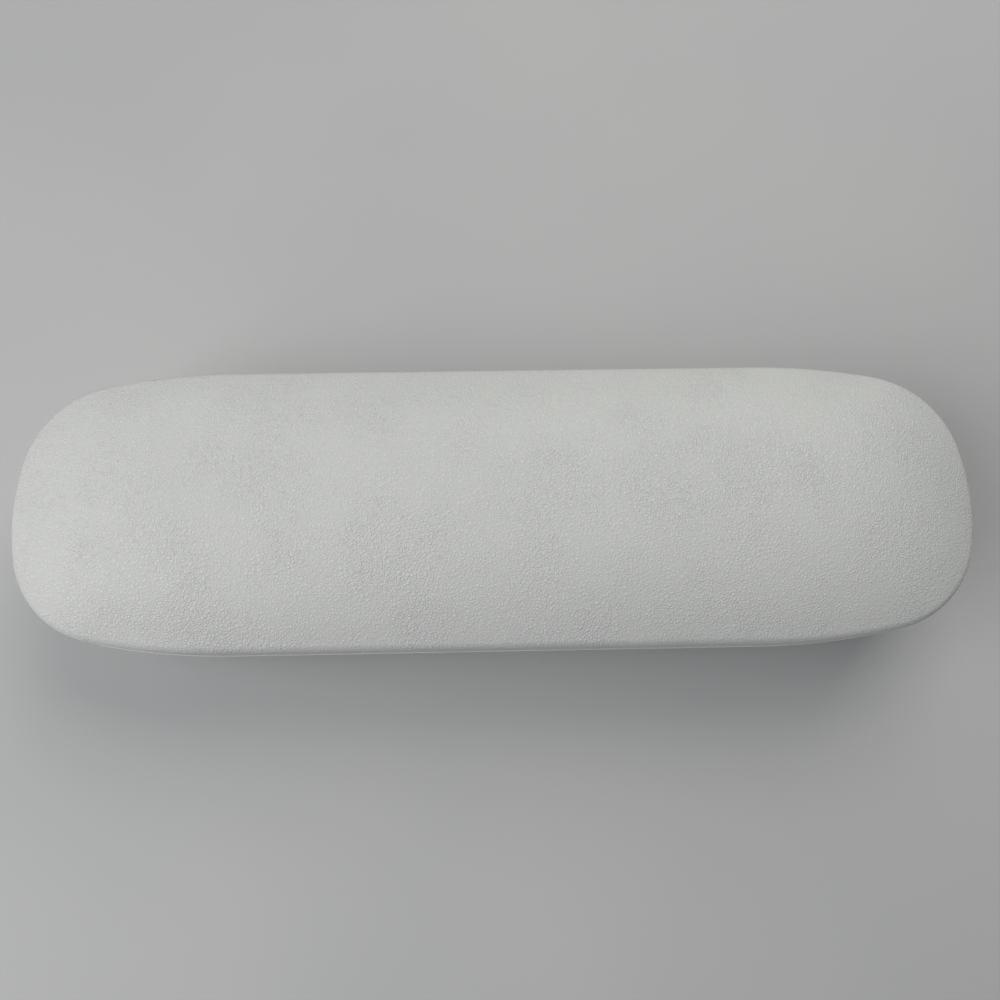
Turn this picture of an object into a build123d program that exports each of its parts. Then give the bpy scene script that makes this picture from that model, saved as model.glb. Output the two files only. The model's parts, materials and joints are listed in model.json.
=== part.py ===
from build123d import *
import os
from math import asin, atan2, cos, degrees, radians, sin, sqrt, tan

# A hard clamshell travel case, covered in leatherette, for an electric toothbrush
# and two spare brush heads. Millimetres. X runs along the case, Y to the hinge at
# the back, Z up. The origin is the middle of the flat underside.

# ---- what the case holds ----
HANDLE_LENGTH = 190.0          # toothbrush handle, foot to tip of its drive shaft
HANDLE_RADIUS = 14.25          # at the foot
NECK_RADIUS = 12.5             # where the body ends
SHAFT_RADIUS = 4.6
BODY_LENGTH = 150.0            # foot to neck
SHOULDER_LENGTH = 18.0         # neck to shaft
HEAD_LENGTH = 76.0             # spare brush head, tip to tail
HEAD_RADIUS = 8.4              # round its cap
HEAD_CAP_LENGTH = 30.0
WAIST_RADIUS = 5.6
WAIST_LENGTH = 16.0
HEAD_TAIL_RADIUS = 7.2
HEAD_FLARE = 8.0               # length over which cap and tail narrow to the waist
POCKET_CLEARANCE = 0.6         # all round what lies in a pocket
FOOT_ROUND = 3.0               # rounded corners of the pockets
NECK_ROUND = 8.0
SHAFT_ROUND = 2.5
CAP_ROUND = 5.0
FLARE_ROUND = 6.0
TAIL_ROUND = 3.0

# ---- walls ----
COVER = 0.9                    # leatherette
GLUE = 0.1
BASE_WALL = 2.0
LID_WALL = 1.8
LINER_WALL = 1.0
TRAY_WALL = 1.6
FLOOR_GAP = 0.4                # under the handle pocket
FIT = 0.1                      # between pieces that seat on each other

# ---- margins round the pockets, which set the length and width ----
FOOT_MARGIN = 30.0
TIP_MARGIN = 18.8
FRONT_MARGIN = 6.95
POCKET_LAND = 4.65
BACK_MARGIN = 12.3
WELL_MARGIN = 14.0             # right-hand brush head pocket to the end of the case
WELL_GAP = 6.0                 # between the two brush head pockets

# ---- plan outline ----
CAP_LENGTH = 53.5              # from the end of a straight side to the end of the case
SHOULDER_RADIUS = 165.0
CORNER_RADIUS = 26.0
END_RADIUS = 60.5

# ---- base ----
SEAM_ABOVE_HANDLE = 6.15       # top of the base above the handle's axis
DRAFT = 8.0                    # degrees
BOTTOM_RADIUS = 10.0
RIM_THICKNESS = 1.2
RIM_PROUD = 0.4
RIM_WIDTH = 4.4
RIM_ROUND = 0.5
DECK_DROP = 0.8                # tray deck below the rim
WELL_DROP = 6.2                # brush head axis below the deck
BAY_RADIUS = 12.0              # finger bay across the pockets
BAY_RISE = 4.0                 # its axis above the deck
BAY_MARGIN = 3.0               # it stops this far inside the back of the head pockets

# ---- lid ----
PARTING_GAP = 0.3
HEADROOM = 6.8                 # over the handle, under the middle of the liner
SIDE_EDGE = 9.2                # crown above the lid's edge, at the middle of the long sides
LONG_ARCH_RADIUS = 2000.0      # along the middle
END_ARCH_RADIUS = 240.0        # along the ends
END_ARCH_LENGTH = 45.0         # of each end, where the crown falls faster
EDGE_ROLL = 3.0
INNER_ROLL = 2.0
TURN_IN = 4.0                  # leatherette folded up inside the lid's edge
LINER_ROLL = 5.0
LINER_FLANGE = 0.9
LINER_RISE = 0.2               # liner flange above the lid's edge
MOUTH_INSET = 7.4              # lid's mouth inside the outline

# ---- hinges ----
HINGE_X = 40.0
HINGE_LENGTH = 24.0
HINGE_INSET = 1.1              # hinge axis inside the back face
EDGE_RELIEF = 2.5              # rounding of both back edges, which lets the lid swing back
BARREL_RADIUS = 2.2
PIN_RADIUS = 0.9
PIN_FIT = 0.05
LEAF = 1.0
LEAF_DEPTH = 7.5
LID_LEAF_DEPTH = 3.8
KNUCKLE_GAP = 0.15
NOTCH_CLEARANCE = 0.3
LEAF_SCREW_SPACING = 14.0
LEAF_SCREW_RADIUS = 0.7
LEAF_SCREW_HEAD_RADIUS = 1.25
LEAF_SCREW_HEAD = 0.8
LEAF_SCREW_BITE = 1.3          # depth in the wall
LEAF_SCREW_DROP = 4.0          # below the strap, in the base
LID_SCREW_RISE = 1.45          # above the strap, in the lid

# ---- closing magnets ----
MAGNET_LENGTH = 8.0
MAGNET_THICKNESS = 2.0
MAGNET_HEIGHT = 3.0
MAGNET_ANGLE = 45.0            # round the front corners
MAGNET_INSET = 5.3             # middle of the magnet inside the outline
MAGNET_SKIN = 0.6              # tray left over a magnet

# ---- soft pads ----
PAD_WIDTH = 12.0
PAD_THICKNESS = 1.2
PAD_RECESS = 0.8
PAD_HALF_ANGLE = 52.0
HANDLE_PAD_REACH = 46.0        # handle pads from the middle of the body
LID_PAD_LENGTH = 18.0
LID_PAD_SPAN = 21.0
LID_PAD_GAP = 0.4              # over the handle
LID_PAD_WRAP = 11.2            # its lower edge above the handle's axis
LID_PAD_ROUND = 1.0
SOFT_GAP = 0.2                 # between a soft piece and what carries it

# ---- tray screws ----
SCREW_RADIUS = 1.0
SCREW_HEAD_RADIUS = 1.9
SCREW_HEAD = 0.8
SCREW_SEAT = 0.2               # flat for the head, below the pad's recess
SCREW_BITE = 1.9
SCREW_END_ROOM = 0.2           # hole beyond the end of a screw
BOSS_RADIUS = 3.2

# ---- charging gear ----
COIL_RADIUS = 8.6
COIL_LENGTH = 3.2
BOBBIN_FLANGE = 0.7
BOBBIN_LIP = 0.6               # flange beyond the winding
BOBBIN_HUB = 4.6
CORE_RADIUS = 3.6
CORE_DISC = 1.0
BOBBIN_FOOT = 10.0
BOBBIN_BASE = 0.8
BOBBIN_PIN_RADIUS = 0.35
BOBBIN_PIN_SPACING = 6.0
HOOD_CLEARANCE = 0.4
HOOD_WALL = 1.2
HOOD_ROUND = 1.0
BOARD_THICKNESS = 1.6
BOARD_Z = 7.4
BOARD_RIGHT = 33.0             # board's right edge from the foot of the handle pocket
BOARD_LEFT = 12.4              # its left edge, the other way
BOARD_FRONT = 16.5             # its front edge behind the handle's axis
BOARD_BACK = 42.0
BOARD_LEG = 7.2                # leg under the coil, in front of the handle's axis
BOARD_INSET = 7.0              # board inside the outline
BOARD_GAP = 1.0                # its right edge to the left-hand brush head pocket
BOARD_CLEARANCE = 0.3          # leg to the tray's pocket wall
BOARD_SCREW_MARGIN = 3.2       # right-hand screw inside the board's corner
BOARD_SCREW_SIDE = 8.0         # back screw inside the board's back edge
BOARD_SCREW_END = 5.0          # back screw from the foot of the handle pocket
COIL_SCREW_END = 9.6           # screw behind the coil from the foot of the handle pocket
BOARD_SCREW_RADIUS = 1.0
BOARD_SCREW_HEAD_RADIUS = 1.8
BOARD_SCREW_HEAD = 0.9
BOARD_SCREW_BITE = 4.0
CHIP_SIZE = 7.0
CHIP_HEIGHT = 1.0
INDUCTOR_RADIUS = 3.2
INDUCTOR_HEIGHT = 2.8
CAPACITOR_RADIUS = 1.6
CAPACITOR_HEIGHT = 3.0
CAPACITOR_SPACING = 5.0
INDUCTOR_PLACE = 1.0           # from the foot of the handle pocket
CHIP_PLACE = 12.0
CAPACITOR_PLACE = 21.0
SOCKET_WIDTH = 7.7
SOCKET_HEIGHT = 3.9
SOCKET_DEPTH = 7.5
SOCKET_METAL = 0.35
SOCKET_RECESS = 2.0            # mouth behind the outside of the case
SOCKET_INSET = 4.4             # middle of the socket from the board's right edge
BEZEL_WIDTH = 12.2
BEZEL_HEIGHT = 7.7
BEZEL_FLANGE = 1.0             # round the body
BEZEL_PROUD = 0.5
BEZEL_DEPTH = 3.3              # from the outside of the case
BEZEL_MOUTH = 0.6              # round the socket
TONGUE_ROOT = 1.5
TONGUE_REACH = 3.8
TONGUE_THICKNESS = 0.8
TONGUE_SIDE_ROOM = 0.95

# ---- worked out from the above ----
POCKET_RADIUS = HANDLE_RADIUS + POCKET_CLEARANCE
POCKET_LENGTH = HANDLE_LENGTH + 2 * POCKET_CLEARANCE
WELL_RADIUS = HEAD_RADIUS + POCKET_CLEARANCE
WELL_LENGTH = HEAD_LENGTH + 2 * POCKET_CLEARANCE
HANDLE_ROW = FOOT_MARGIN + POCKET_LENGTH + TIP_MARGIN
HEAD_ROW = FOOT_MARGIN + BOARD_RIGHT + BOARD_GAP + TRAY_WALL
HEAD_ROW += 2 * WELL_LENGTH + WELL_GAP + WELL_MARGIN
LENGTH = max(HANDLE_ROW, HEAD_ROW)  # the longer row sets the length of the case
WIDTH = FRONT_MARGIN + 2 * POCKET_RADIUS + POCKET_LAND + 2 * WELL_RADIUS + BACK_MARGIN
HALF_STRAIGHT = LENGTH / 2 - CAP_LENGTH
BASE_STACK = COVER + GLUE + BASE_WALL
LID_SKIN = COVER + GLUE + LID_WALL
LID_STACK = LID_SKIN + GLUE + LINER_WALL
FOOT_X = FOOT_MARGIN - LENGTH / 2
HANDLE_Y = FRONT_MARGIN + POCKET_RADIUS - WIDTH / 2
HANDLE_Z = BASE_STACK + FLOOR_GAP + TRAY_WALL + POCKET_RADIUS
SEAM_Z = HANDLE_Z + SEAM_ABOVE_HANDLE
RIM_Z = SEAM_Z - RIM_THICKNESS
DECK_Z = SEAM_Z - DECK_DROP
WELL_Y = WIDTH / 2 - BACK_MARGIN - WELL_RADIUS
WELL_Z = DECK_Z - WELL_DROP
WELL_X = LENGTH / 2 - WELL_MARGIN - WELL_LENGTH - WELL_GAP / 2
LID_EDGE = SEAM_Z + PARTING_GAP
LID_RISE = HANDLE_RADIUS - SEAM_ABOVE_HANDLE - PARTING_GAP + HEADROOM + LID_STACK
CROWN_Z = LID_EDGE + LID_RISE
ARCH_RISE = LID_RISE - SIDE_EDGE
SIDE_ARCH_RADIUS = ((WIDTH / 2) ** 2 + ARCH_RISE**2) / (2 * ARCH_RISE)
PLUG_INSET = BASE_STACK + FIT + (RIM_Z - DECK_Z + TRAY_WALL) * tan(radians(DRAFT))
AXIS_Y = WIDTH / 2 - HINGE_INSET
AXIS_Z = SEAM_Z + PARTING_GAP / 2
BARREL_BOTTOM = AXIS_Z - BARREL_RADIUS
BARREL_TOP = AXIS_Z + BARREL_RADIUS
BOARD_TOP = BOARD_Z + BOARD_THICKNESS
BOBBIN_RADIUS = COIL_RADIUS + BOBBIN_LIP
BOBBIN_LENGTH = COIL_LENGTH + 2 * BOBBIN_FLANGE
COIL_X = FOOT_X - TRAY_WALL - HOOD_CLEARANCE
HOOD_RADIUS = BOBBIN_RADIUS + HOOD_CLEARANCE + HOOD_WALL
HOOD_END = COIL_X - BOBBIN_LENGTH - CORE_DISC - HOOD_CLEARANCE - HOOD_WALL
BOARD_EDGE_X = FOOT_X + BOARD_RIGHT
SOCKET_X = BOARD_EDGE_X - SOCKET_INSET
SOCKET_Z = BOARD_TOP + SOCKET_HEIGHT / 2
HANDLE_MIDDLE = FOOT_X + POCKET_CLEARANCE + BODY_LENGTH / 2
OVERRUN = 5.0                  # how far a cutting tool runs past what it cuts

os.makedirs("parts", exist_ok=True)


def save(part, name):
    """Label a finished piece and write its STEP file."""
    part.label = name
    export_step(part, f"parts/{name}.step")


# ---------------------------------------------------------------- plan outline
def corner_centre():
    """Centre of a corner arc, which touches the shoulder arc and the end arc."""
    shoulder = Vector(HALF_STRAIGHT, WIDTH / 2 - SHOULDER_RADIUS)
    end = Vector(LENGTH / 2 - END_RADIUS, 0)
    to_shoulder = SHOULDER_RADIUS - CORNER_RADIUS
    to_end = END_RADIUS - CORNER_RADIUS
    line = end - shoulder
    along = (to_shoulder**2 - to_end**2 + line.length**2) / (2 * line.length)
    across = sqrt(to_shoulder**2 - along**2)
    unit = line.normalized()
    return shoulder + unit * along + Vector(unit.Y, -unit.X) * across


def plan(inset, z):
    """Plan outline at height z, drawn in by inset all round."""
    shoulder = Vector(HALF_STRAIGHT, WIDTH / 2 - SHOULDER_RADIUS)
    end = Vector(LENGTH / 2 - END_RADIUS, 0)
    corner = corner_centre()
    steep = degrees(atan2(corner.Y - shoulder.Y, corner.X - shoulder.X))
    blunt = degrees(atan2(corner.Y - end.Y, corner.X - end.X))
    with BuildSketch(Plane.XY.offset(z)) as face:
        with BuildLine():
            Line((0, WIDTH / 2 - inset), (HALF_STRAIGHT, WIDTH / 2 - inset))
            CenterArc(shoulder, SHOULDER_RADIUS - inset, steep, 90 - steep)
            CenterArc(corner, CORNER_RADIUS - inset, blunt, steep - blunt)
            CenterArc(end, END_RADIUS - inset, 0, blunt)
            mirror(about=Plane.YZ)
            mirror(about=Plane.XZ)
        make_face()
    return face.sketch


# ------------------------------------------------------------- forms of the base
def hull_form(inset):
    """Base drawn in by inset: drafted sides that roll into a flat floor."""
    with BuildPart() as form:
        extrude(plan(inset, RIM_Z), amount=inset - RIM_Z, taper=DRAFT)
        fillet(form.faces().sort_by(Axis.Z)[0].edges(), BOTTOM_RADIUS - inset)
    return form.part


def pocket_form(corners, radii, x, y, z, top, facing):
    """Trough whose section is half round below z and upright from z to top."""
    floor = Plane(origin=(x, y, z), x_dir=(facing, 0, 0), z_dir=(0, 0, 1))
    with BuildPart() as form:
        with BuildSketch(floor) as half:
            with BuildLine():
                FilletPolyline(*corners, radius=radii)
                Line(corners[-1], corners[0])
            make_face()
        revolve(half.sketch, axis=Axis((x, y, z), (-facing, 0, 0)), revolution_arc=180)
        with BuildSketch(floor) as whole:
            with BuildLine():
                FilletPolyline(*corners, radius=radii)
                mirror(about=Plane.XZ)
            make_face()
        extrude(whole.sketch, amount=top - z)
    return form.part


def handle_pocket(grow, top):
    """Room for the handle, with its body, shoulder and drive shaft, grown by grow."""
    room = POCKET_CLEARANCE + grow
    shaft_x = POCKET_CLEARANCE + BODY_LENGTH + SHOULDER_LENGTH
    corners = [
        (-grow, 0),
        (-grow, HANDLE_RADIUS + room),
        (BODY_LENGTH + POCKET_CLEARANCE, NECK_RADIUS + room),
        (shaft_x, SHAFT_RADIUS + room),
        (POCKET_LENGTH + grow, SHAFT_RADIUS + room),
        (POCKET_LENGTH + grow, 0),
    ]
    radii = [FOOT_ROUND + grow, NECK_ROUND + grow, NECK_ROUND - grow, SHAFT_ROUND + grow]
    return pocket_form(corners, radii, FOOT_X, HANDLE_Y, HANDLE_Z, top, 1)


def head_pocket(side, grow, top):
    """Room for one spare brush head, its cap to the outside, grown by grow."""
    room = POCKET_CLEARANCE + grow
    cap = POCKET_CLEARANCE + HEAD_CAP_LENGTH
    waist = cap + HEAD_FLARE + WAIST_LENGTH
    corners = [
        (-grow, 0),
        (-grow, HEAD_RADIUS + room),
        (cap, HEAD_RADIUS + room),
        (cap + HEAD_FLARE, WAIST_RADIUS + room),
        (waist, WAIST_RADIUS + room),
        (waist + HEAD_FLARE, HEAD_TAIL_RADIUS + room),
        (WELL_LENGTH + grow, HEAD_TAIL_RADIUS + room),
        (WELL_LENGTH + grow, 0),
    ]
    radii = [
        CAP_ROUND + grow,
        FLARE_ROUND + grow,
        FLARE_ROUND - grow,
        FLARE_ROUND - grow,
        FLARE_ROUND + grow,
        TAIL_ROUND + grow,
    ]
    x = WELL_X + side * (WELL_LENGTH + WELL_GAP / 2)
    return pocket_form(corners, radii, x, WELL_Y, WELL_Z, top, -side)


def finger_bay(grow, top):
    """Round bay across the pockets, where fingers lift what lies in them."""
    radius = BAY_RADIUS + grow
    turn_y = WELL_Y + WELL_RADIUS - BAY_MARGIN - BAY_RADIUS
    with BuildPart() as bay:
        with Locations(Plane(origin=(WELL_X, HANDLE_Y, DECK_Z + BAY_RISE), z_dir=(0, 1, 0))):
            Cylinder(radius, turn_y - HANDLE_Y, align=(Align.CENTER, Align.CENTER, Align.MIN))
        with Locations((WELL_X, turn_y, DECK_Z + BAY_RISE)):
            Sphere(radius)
        split(bisect_by=Plane.XY.offset(top), keep=Keep.BOTTOM)
    return bay.part


def hood_form(radius, near, far):
    """Round hood about the handle's axis, between two places along it."""
    with BuildPart() as hood:
        with Locations(Plane(origin=(far, HANDLE_Y, HANDLE_Z), z_dir=(1, 0, 0))):
            Cylinder(radius, near - far, align=(Align.CENTER, Align.CENTER, Align.MIN))
        fillet(hood.faces().sort_by(Axis.X)[0].edges(), HOOD_ROUND)
        split(bisect_by=Plane.XY.offset(DECK_Z - TRAY_WALL), keep=Keep.TOP)
    return hood.part


def saddle(x, y, z, inner, outer, width, half_angle):
    """Curved strip under the axis through y and z, centred on x."""
    lean = radians(half_angle)
    start = Plane(origin=(x, y, z), x_dir=(1, 0, 0), z_dir=(0, cos(lean), -sin(lean)))
    with BuildPart() as strip:
        with BuildSketch(start) as section:
            with Locations((0, (inner + outer) / 2)):
                Rectangle(width, outer - inner)
        revolve(section.sketch, axis=Axis((x, y, z), (1, 0, 0)), revolution_arc=2 * half_angle)
    return strip.part


def wall_notch(inner_y, outer_y, low, high):
    """Room for both hinges in the back wall, between two depths and two heights."""
    with BuildPart() as notch:
        with Locations((-HINGE_X, inner_y, low), (HINGE_X, inner_y, low)):
            Box(
                HINGE_LENGTH + 2 * NOTCH_CLEARANCE,
                outer_y - inner_y,
                high - low,
                align=(Align.CENTER, Align.MIN, Align.MIN),
            )
    return notch.part


def back_relief(inset, edge_z, up):
    """What rounding takes off the back edge at edge_z; up is 1 on the lid, -1 on the base."""
    radius = EDGE_RELIEF - inset
    back_y = WIDTH / 2 - inset
    turn = sqrt(0.5) * radius
    with BuildPart() as relief:
        with BuildSketch(Plane.YZ.offset(-LENGTH / 2)):
            with BuildLine():
                Polyline(
                    (back_y - radius, edge_z),
                    (back_y - radius, edge_z - up * OVERRUN),
                    (back_y + OVERRUN, edge_z - up * OVERRUN),
                    (back_y + OVERRUN, edge_z + up * radius),
                    (back_y, edge_z + up * radius),
                )
                ThreePointArc(
                    (back_y, edge_z + up * radius),
                    (back_y - radius + turn, edge_z + up * (radius - turn)),
                    (back_y - radius, edge_z),
                )
            make_face()
        extrude(amount=LENGTH)
    return relief.part


def socket_hole():
    """Opening for the charging socket's bezel, cut through the back wall."""
    with BuildPart() as hole:
        with BuildSketch(Plane.XZ.offset(-WIDTH / 2)):
            with Locations((SOCKET_X, SOCKET_Z)):
                Rectangle(BEZEL_WIDTH + 2 * FIT, BEZEL_HEIGHT + 2 * FIT)
        extrude(amount=WIDTH / 4)
    return hole.part


def base_wall_y(z):
    """Inner face of the base's back wall at height z."""
    return WIDTH / 2 - BASE_STACK - (RIM_Z - z) * tan(radians(DRAFT))


def base_screw_plane(x):
    """Plane on the inner face of a base hinge leaf, at its screws; Z points inward."""
    z = BARREL_BOTTOM - LEAF_SCREW_DROP
    slope = radians(DRAFT)
    face_y = base_wall_y(z) - (FIT + LEAF) / cos(slope)
    return Plane(origin=(x, face_y, z), x_dir=(1, 0, 0), z_dir=(0, -cos(slope), sin(slope)))


def lid_screw_plane(x):
    """Plane on the inner face of a lid hinge leaf, at its screws; Z points inward."""
    face_y = WIDTH / 2 - LID_SKIN - FIT - LEAF
    return Plane(origin=(x, face_y, BARREL_TOP + LID_SCREW_RISE), x_dir=(1, 0, 0), z_dir=(0, -1, 0))


LEAF_SCREW_PLACES = [(-LEAF_SCREW_SPACING / 2, 0), (LEAF_SCREW_SPACING / 2, 0)]


def leaf_screw_holes(place):
    """Holes in the wall behind a hinge leaf, for its two screws."""
    with BuildPart(place) as holes:
        with Locations(*LEAF_SCREW_PLACES):
            Cylinder(
                LEAF_SCREW_RADIUS + PIN_FIT,
                LEAF + 2 * FIT + LEAF_SCREW_BITE,
                align=(Align.CENTER, Align.CENTER, Align.MAX),
            )
    return holes.part


def magnet_places(z):
    """Top of the left and right bar magnets, which lie along the front corners."""
    corner = corner_centre()
    reach = CORNER_RADIUS - MAGNET_INSET
    lean = radians(MAGNET_ANGLE)
    places = []
    for side in (-1, 1):
        outward = Vector(side * cos(lean), -sin(lean), 0)
        centre = Vector(side * corner.X, -corner.Y, z) + outward * reach
        places.append(Plane(origin=centre, x_dir=(sin(lean), side * cos(lean), 0), z_dir=(0, 0, 1)))
    return places


def pad_spots():
    """Each tray pad's name, its x, its pocket's axis and its pocket's radius there."""
    waist_x = WELL_GAP / 2 + WELL_LENGTH - POCKET_CLEARANCE - HEAD_CAP_LENGTH
    waist_x -= HEAD_FLARE + WAIST_LENGTH / 2
    spots = []
    for name, reach in (("foot", -HANDLE_PAD_REACH), ("neck", HANDLE_PAD_REACH)):
        narrowing = (HANDLE_RADIUS - NECK_RADIUS) * (BODY_LENGTH / 2 + reach) / BODY_LENGTH
        radius = POCKET_RADIUS - narrowing
        spots.append((f"handle_pad_{name}", HANDLE_MIDDLE + reach, HANDLE_Y, HANDLE_Z, radius))
    for name, side in (("left", -1), ("right", 1)):
        radius = WAIST_RADIUS + POCKET_CLEARANCE
        spots.append((f"head_pad_{name}", WELL_X + side * waist_x, WELL_Y, WELL_Z, radius))
    return spots


def board_screw_spots():
    """Places of the three screws that hold the circuit board."""
    return [
        (BOARD_EDGE_X - BOARD_SCREW_MARGIN, HANDLE_Y + BOARD_FRONT + BOARD_SCREW_MARGIN),
        (FOOT_X - BOARD_SCREW_END, HANDLE_Y + BOARD_BACK - BOARD_SCREW_SIDE),
        (FOOT_X - COIL_SCREW_END, HANDLE_Y),
    ]


# ================================================================== base
with BuildPart() as base_cover:
    add(hull_form(0))
    add(hull_form(COVER), mode=Mode.SUBTRACT)
    add(back_relief(0, SEAM_Z, -1), mode=Mode.SUBTRACT)
    notch_y = base_wall_y(BARREL_BOTTOM) - LEAF - FIT - NOTCH_CLEARANCE
    notch_z = BARREL_BOTTOM - NOTCH_CLEARANCE
    add(wall_notch(notch_y, WIDTH / 2 + OVERRUN, notch_z, SEAM_Z), mode=Mode.SUBTRACT)
    add(socket_hole(), mode=Mode.SUBTRACT)
save(base_cover.part, "base_cover")

with BuildPart() as base_shell:
    add(hull_form(COVER + GLUE))
    add(hull_form(BASE_STACK), mode=Mode.SUBTRACT)
    floor_z = COVER + GLUE + BASE_WALL / 2
    for name, x, y, z, radius in pad_spots():
        boss_top = z - radius - TRAY_WALL - FIT
        with Locations((x, y, floor_z)):
            Cylinder(BOSS_RADIUS, boss_top - floor_z, align=(Align.CENTER, Align.CENTER, Align.MIN))
        with Locations((x, y, boss_top)):
            Cylinder(
                SCREW_RADIUS + PIN_FIT,
                SCREW_BITE + SCREW_END_ROOM,
                align=(Align.CENTER, Align.CENTER, Align.MAX),
                mode=Mode.SUBTRACT,
            )
    for x, y in board_screw_spots():
        with Locations((x, y, floor_z)):
            Cylinder(BOSS_RADIUS, BOARD_Z - floor_z, align=(Align.CENTER, Align.CENTER, Align.MIN))
        with Locations((x, y, BOARD_Z)):
            Cylinder(
                BOARD_SCREW_RADIUS + PIN_FIT,
                BOARD_SCREW_BITE + SCREW_END_ROOM,
                align=(Align.CENTER, Align.CENTER, Align.MAX),
                mode=Mode.SUBTRACT,
            )
    add(back_relief(0, SEAM_Z, -1), mode=Mode.SUBTRACT)
    add(wall_notch(notch_y, WIDTH / 2 + OVERRUN, notch_z, SEAM_Z), mode=Mode.SUBTRACT)
    for side in (-1, 1):
        add(leaf_screw_holes(base_screw_plane(side * HINGE_X)), mode=Mode.SUBTRACT)
    add(socket_hole(), mode=Mode.SUBTRACT)
save(base_shell.part, "base_shell")

with BuildPart() as base_tray:
    extrude(plan(-RIM_PROUD, SEAM_Z), amount=-RIM_THICKNESS)
    fillet(base_tray.faces().filter_by(Axis.Z).edges(), RIM_ROUND)
    extrude(plan(PLUG_INSET, DECK_Z - TRAY_WALL), amount=TRAY_WALL)
    extrude(plan(RIM_WIDTH, DECK_Z), amount=OVERRUN, mode=Mode.SUBTRACT)
    add(handle_pocket(TRAY_WALL, DECK_Z))
    add(finger_bay(TRAY_WALL, DECK_Z))
    for side in (-1, 1):
        add(head_pocket(side, TRAY_WALL, DECK_Z))
    add(hood_form(HOOD_RADIUS, FOOT_X, HOOD_END))
    inner_radius = HOOD_RADIUS - HOOD_WALL
    add(hood_form(inner_radius, FOOT_X - TRAY_WALL, HOOD_END + HOOD_WALL), mode=Mode.SUBTRACT)
    add(handle_pocket(0, SEAM_Z + OVERRUN), mode=Mode.SUBTRACT)
    add(finger_bay(0, SEAM_Z + OVERRUN), mode=Mode.SUBTRACT)
    for side in (-1, 1):
        add(head_pocket(side, 0, SEAM_Z + OVERRUN), mode=Mode.SUBTRACT)
    for name, x, y, z, radius in pad_spots():
        recess = radius + PAD_RECESS
        half_angle = PAD_HALF_ANGLE + degrees(FIT / radius)
        add(
            saddle(x, y, z, radius - PAD_THICKNESS, recess, PAD_WIDTH + 2 * FIT, half_angle),
            mode=Mode.SUBTRACT,
        )
        with Locations((x, y, z - recess - SCREW_SEAT)):
            Cylinder(
                SCREW_HEAD_RADIUS + FIT,
                SCREW_SEAT + PAD_THICKNESS,
                align=(Align.CENTER, Align.CENTER, Align.MIN),
                mode=Mode.SUBTRACT,
            )
        with Locations((x, y, z - recess)):
            Cylinder(SCREW_RADIUS + FIT, 2 * TRAY_WALL, mode=Mode.SUBTRACT)
    for place in magnet_places(DECK_Z - MAGNET_SKIN):
        with Locations(place):
            Box(
                MAGNET_LENGTH + 2 * FIT,
                MAGNET_THICKNESS + 2 * FIT,
                MAGNET_HEIGHT,
                align=(Align.CENTER, Align.CENTER, Align.MAX),
                mode=Mode.SUBTRACT,
            )
    add(back_relief(0, SEAM_Z, -1), mode=Mode.SUBTRACT)
    add(wall_notch(notch_y, WIDTH / 2, DECK_Z - 2 * TRAY_WALL, SEAM_Z), mode=Mode.SUBTRACT)
save(base_tray.part, "base_tray")

for name, x, y, z, radius in pad_spots():
    outer = radius + PAD_RECESS - SOFT_GAP / 2
    with BuildPart() as pad:
        add(saddle(x, y, z, outer - PAD_THICKNESS, outer, PAD_WIDTH, PAD_HALF_ANGLE))
        with Locations((x, y, z - outer)):
            Cylinder(SCREW_HEAD_RADIUS + FIT, 2 * SCREW_HEAD, mode=Mode.SUBTRACT)
    save(pad.part, name)

with BuildPart() as tray_screws:
    for name, x, y, z, radius in pad_spots():
        seat = z - radius - PAD_RECESS - SCREW_SEAT
        shank = TRAY_WALL - PAD_RECESS - SCREW_SEAT + FIT + SCREW_BITE
        with Locations((x, y, seat)):
            Cylinder(SCREW_HEAD_RADIUS, SCREW_HEAD, align=(Align.CENTER, Align.CENTER, Align.MIN))
            Cylinder(SCREW_RADIUS, shank, align=(Align.CENTER, Align.CENTER, Align.MAX))
save(tray_screws.part, "tray_screws")


def magnet(place):
    """Bar magnet hanging below its place."""
    with BuildPart() as bar:
        with Locations(place):
            Box(
                MAGNET_LENGTH,
                MAGNET_THICKNESS,
                MAGNET_HEIGHT,
                align=(Align.CENTER, Align.CENTER, Align.MAX),
            )
    return bar.part


for side, place in zip(("left", "right"), magnet_places(DECK_Z - MAGNET_SKIN - FIT / 2)):
    save(magnet(place), f"base_magnet_{side}")


# ================================================================== hinges
def hinge_leaf(x, outline, thirds, place):
    """Leaf bent from sheet and rolled round the pin, with knuckles at the thirds named."""
    third = HINGE_LENGTH / 3
    with BuildPart() as leaf:
        with BuildSketch(Plane.YZ.offset(x - HINGE_LENGTH / 2)):
            with BuildLine():
                Polyline(*outline, close=True)
            make_face()
            with Locations((AXIS_Y, AXIS_Z)):
                Circle(BARREL_RADIUS)
                Circle(PIN_RADIUS + PIN_FIT, mode=Mode.SUBTRACT)
        extrude(amount=HINGE_LENGTH)
        for number in range(3):
            if number not in thirds:
                with Locations((x + (number - 1) * third, AXIS_Y, AXIS_Z)):
                    Box(
                        third + 2 * KNUCKLE_GAP,
                        2 * (BARREL_RADIUS + KNUCKLE_GAP),
                        2 * (BARREL_RADIUS + KNUCKLE_GAP),
                        mode=Mode.SUBTRACT,
                    )
        add(leaf_screw_holes(place), mode=Mode.SUBTRACT)
    return leaf.part


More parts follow.
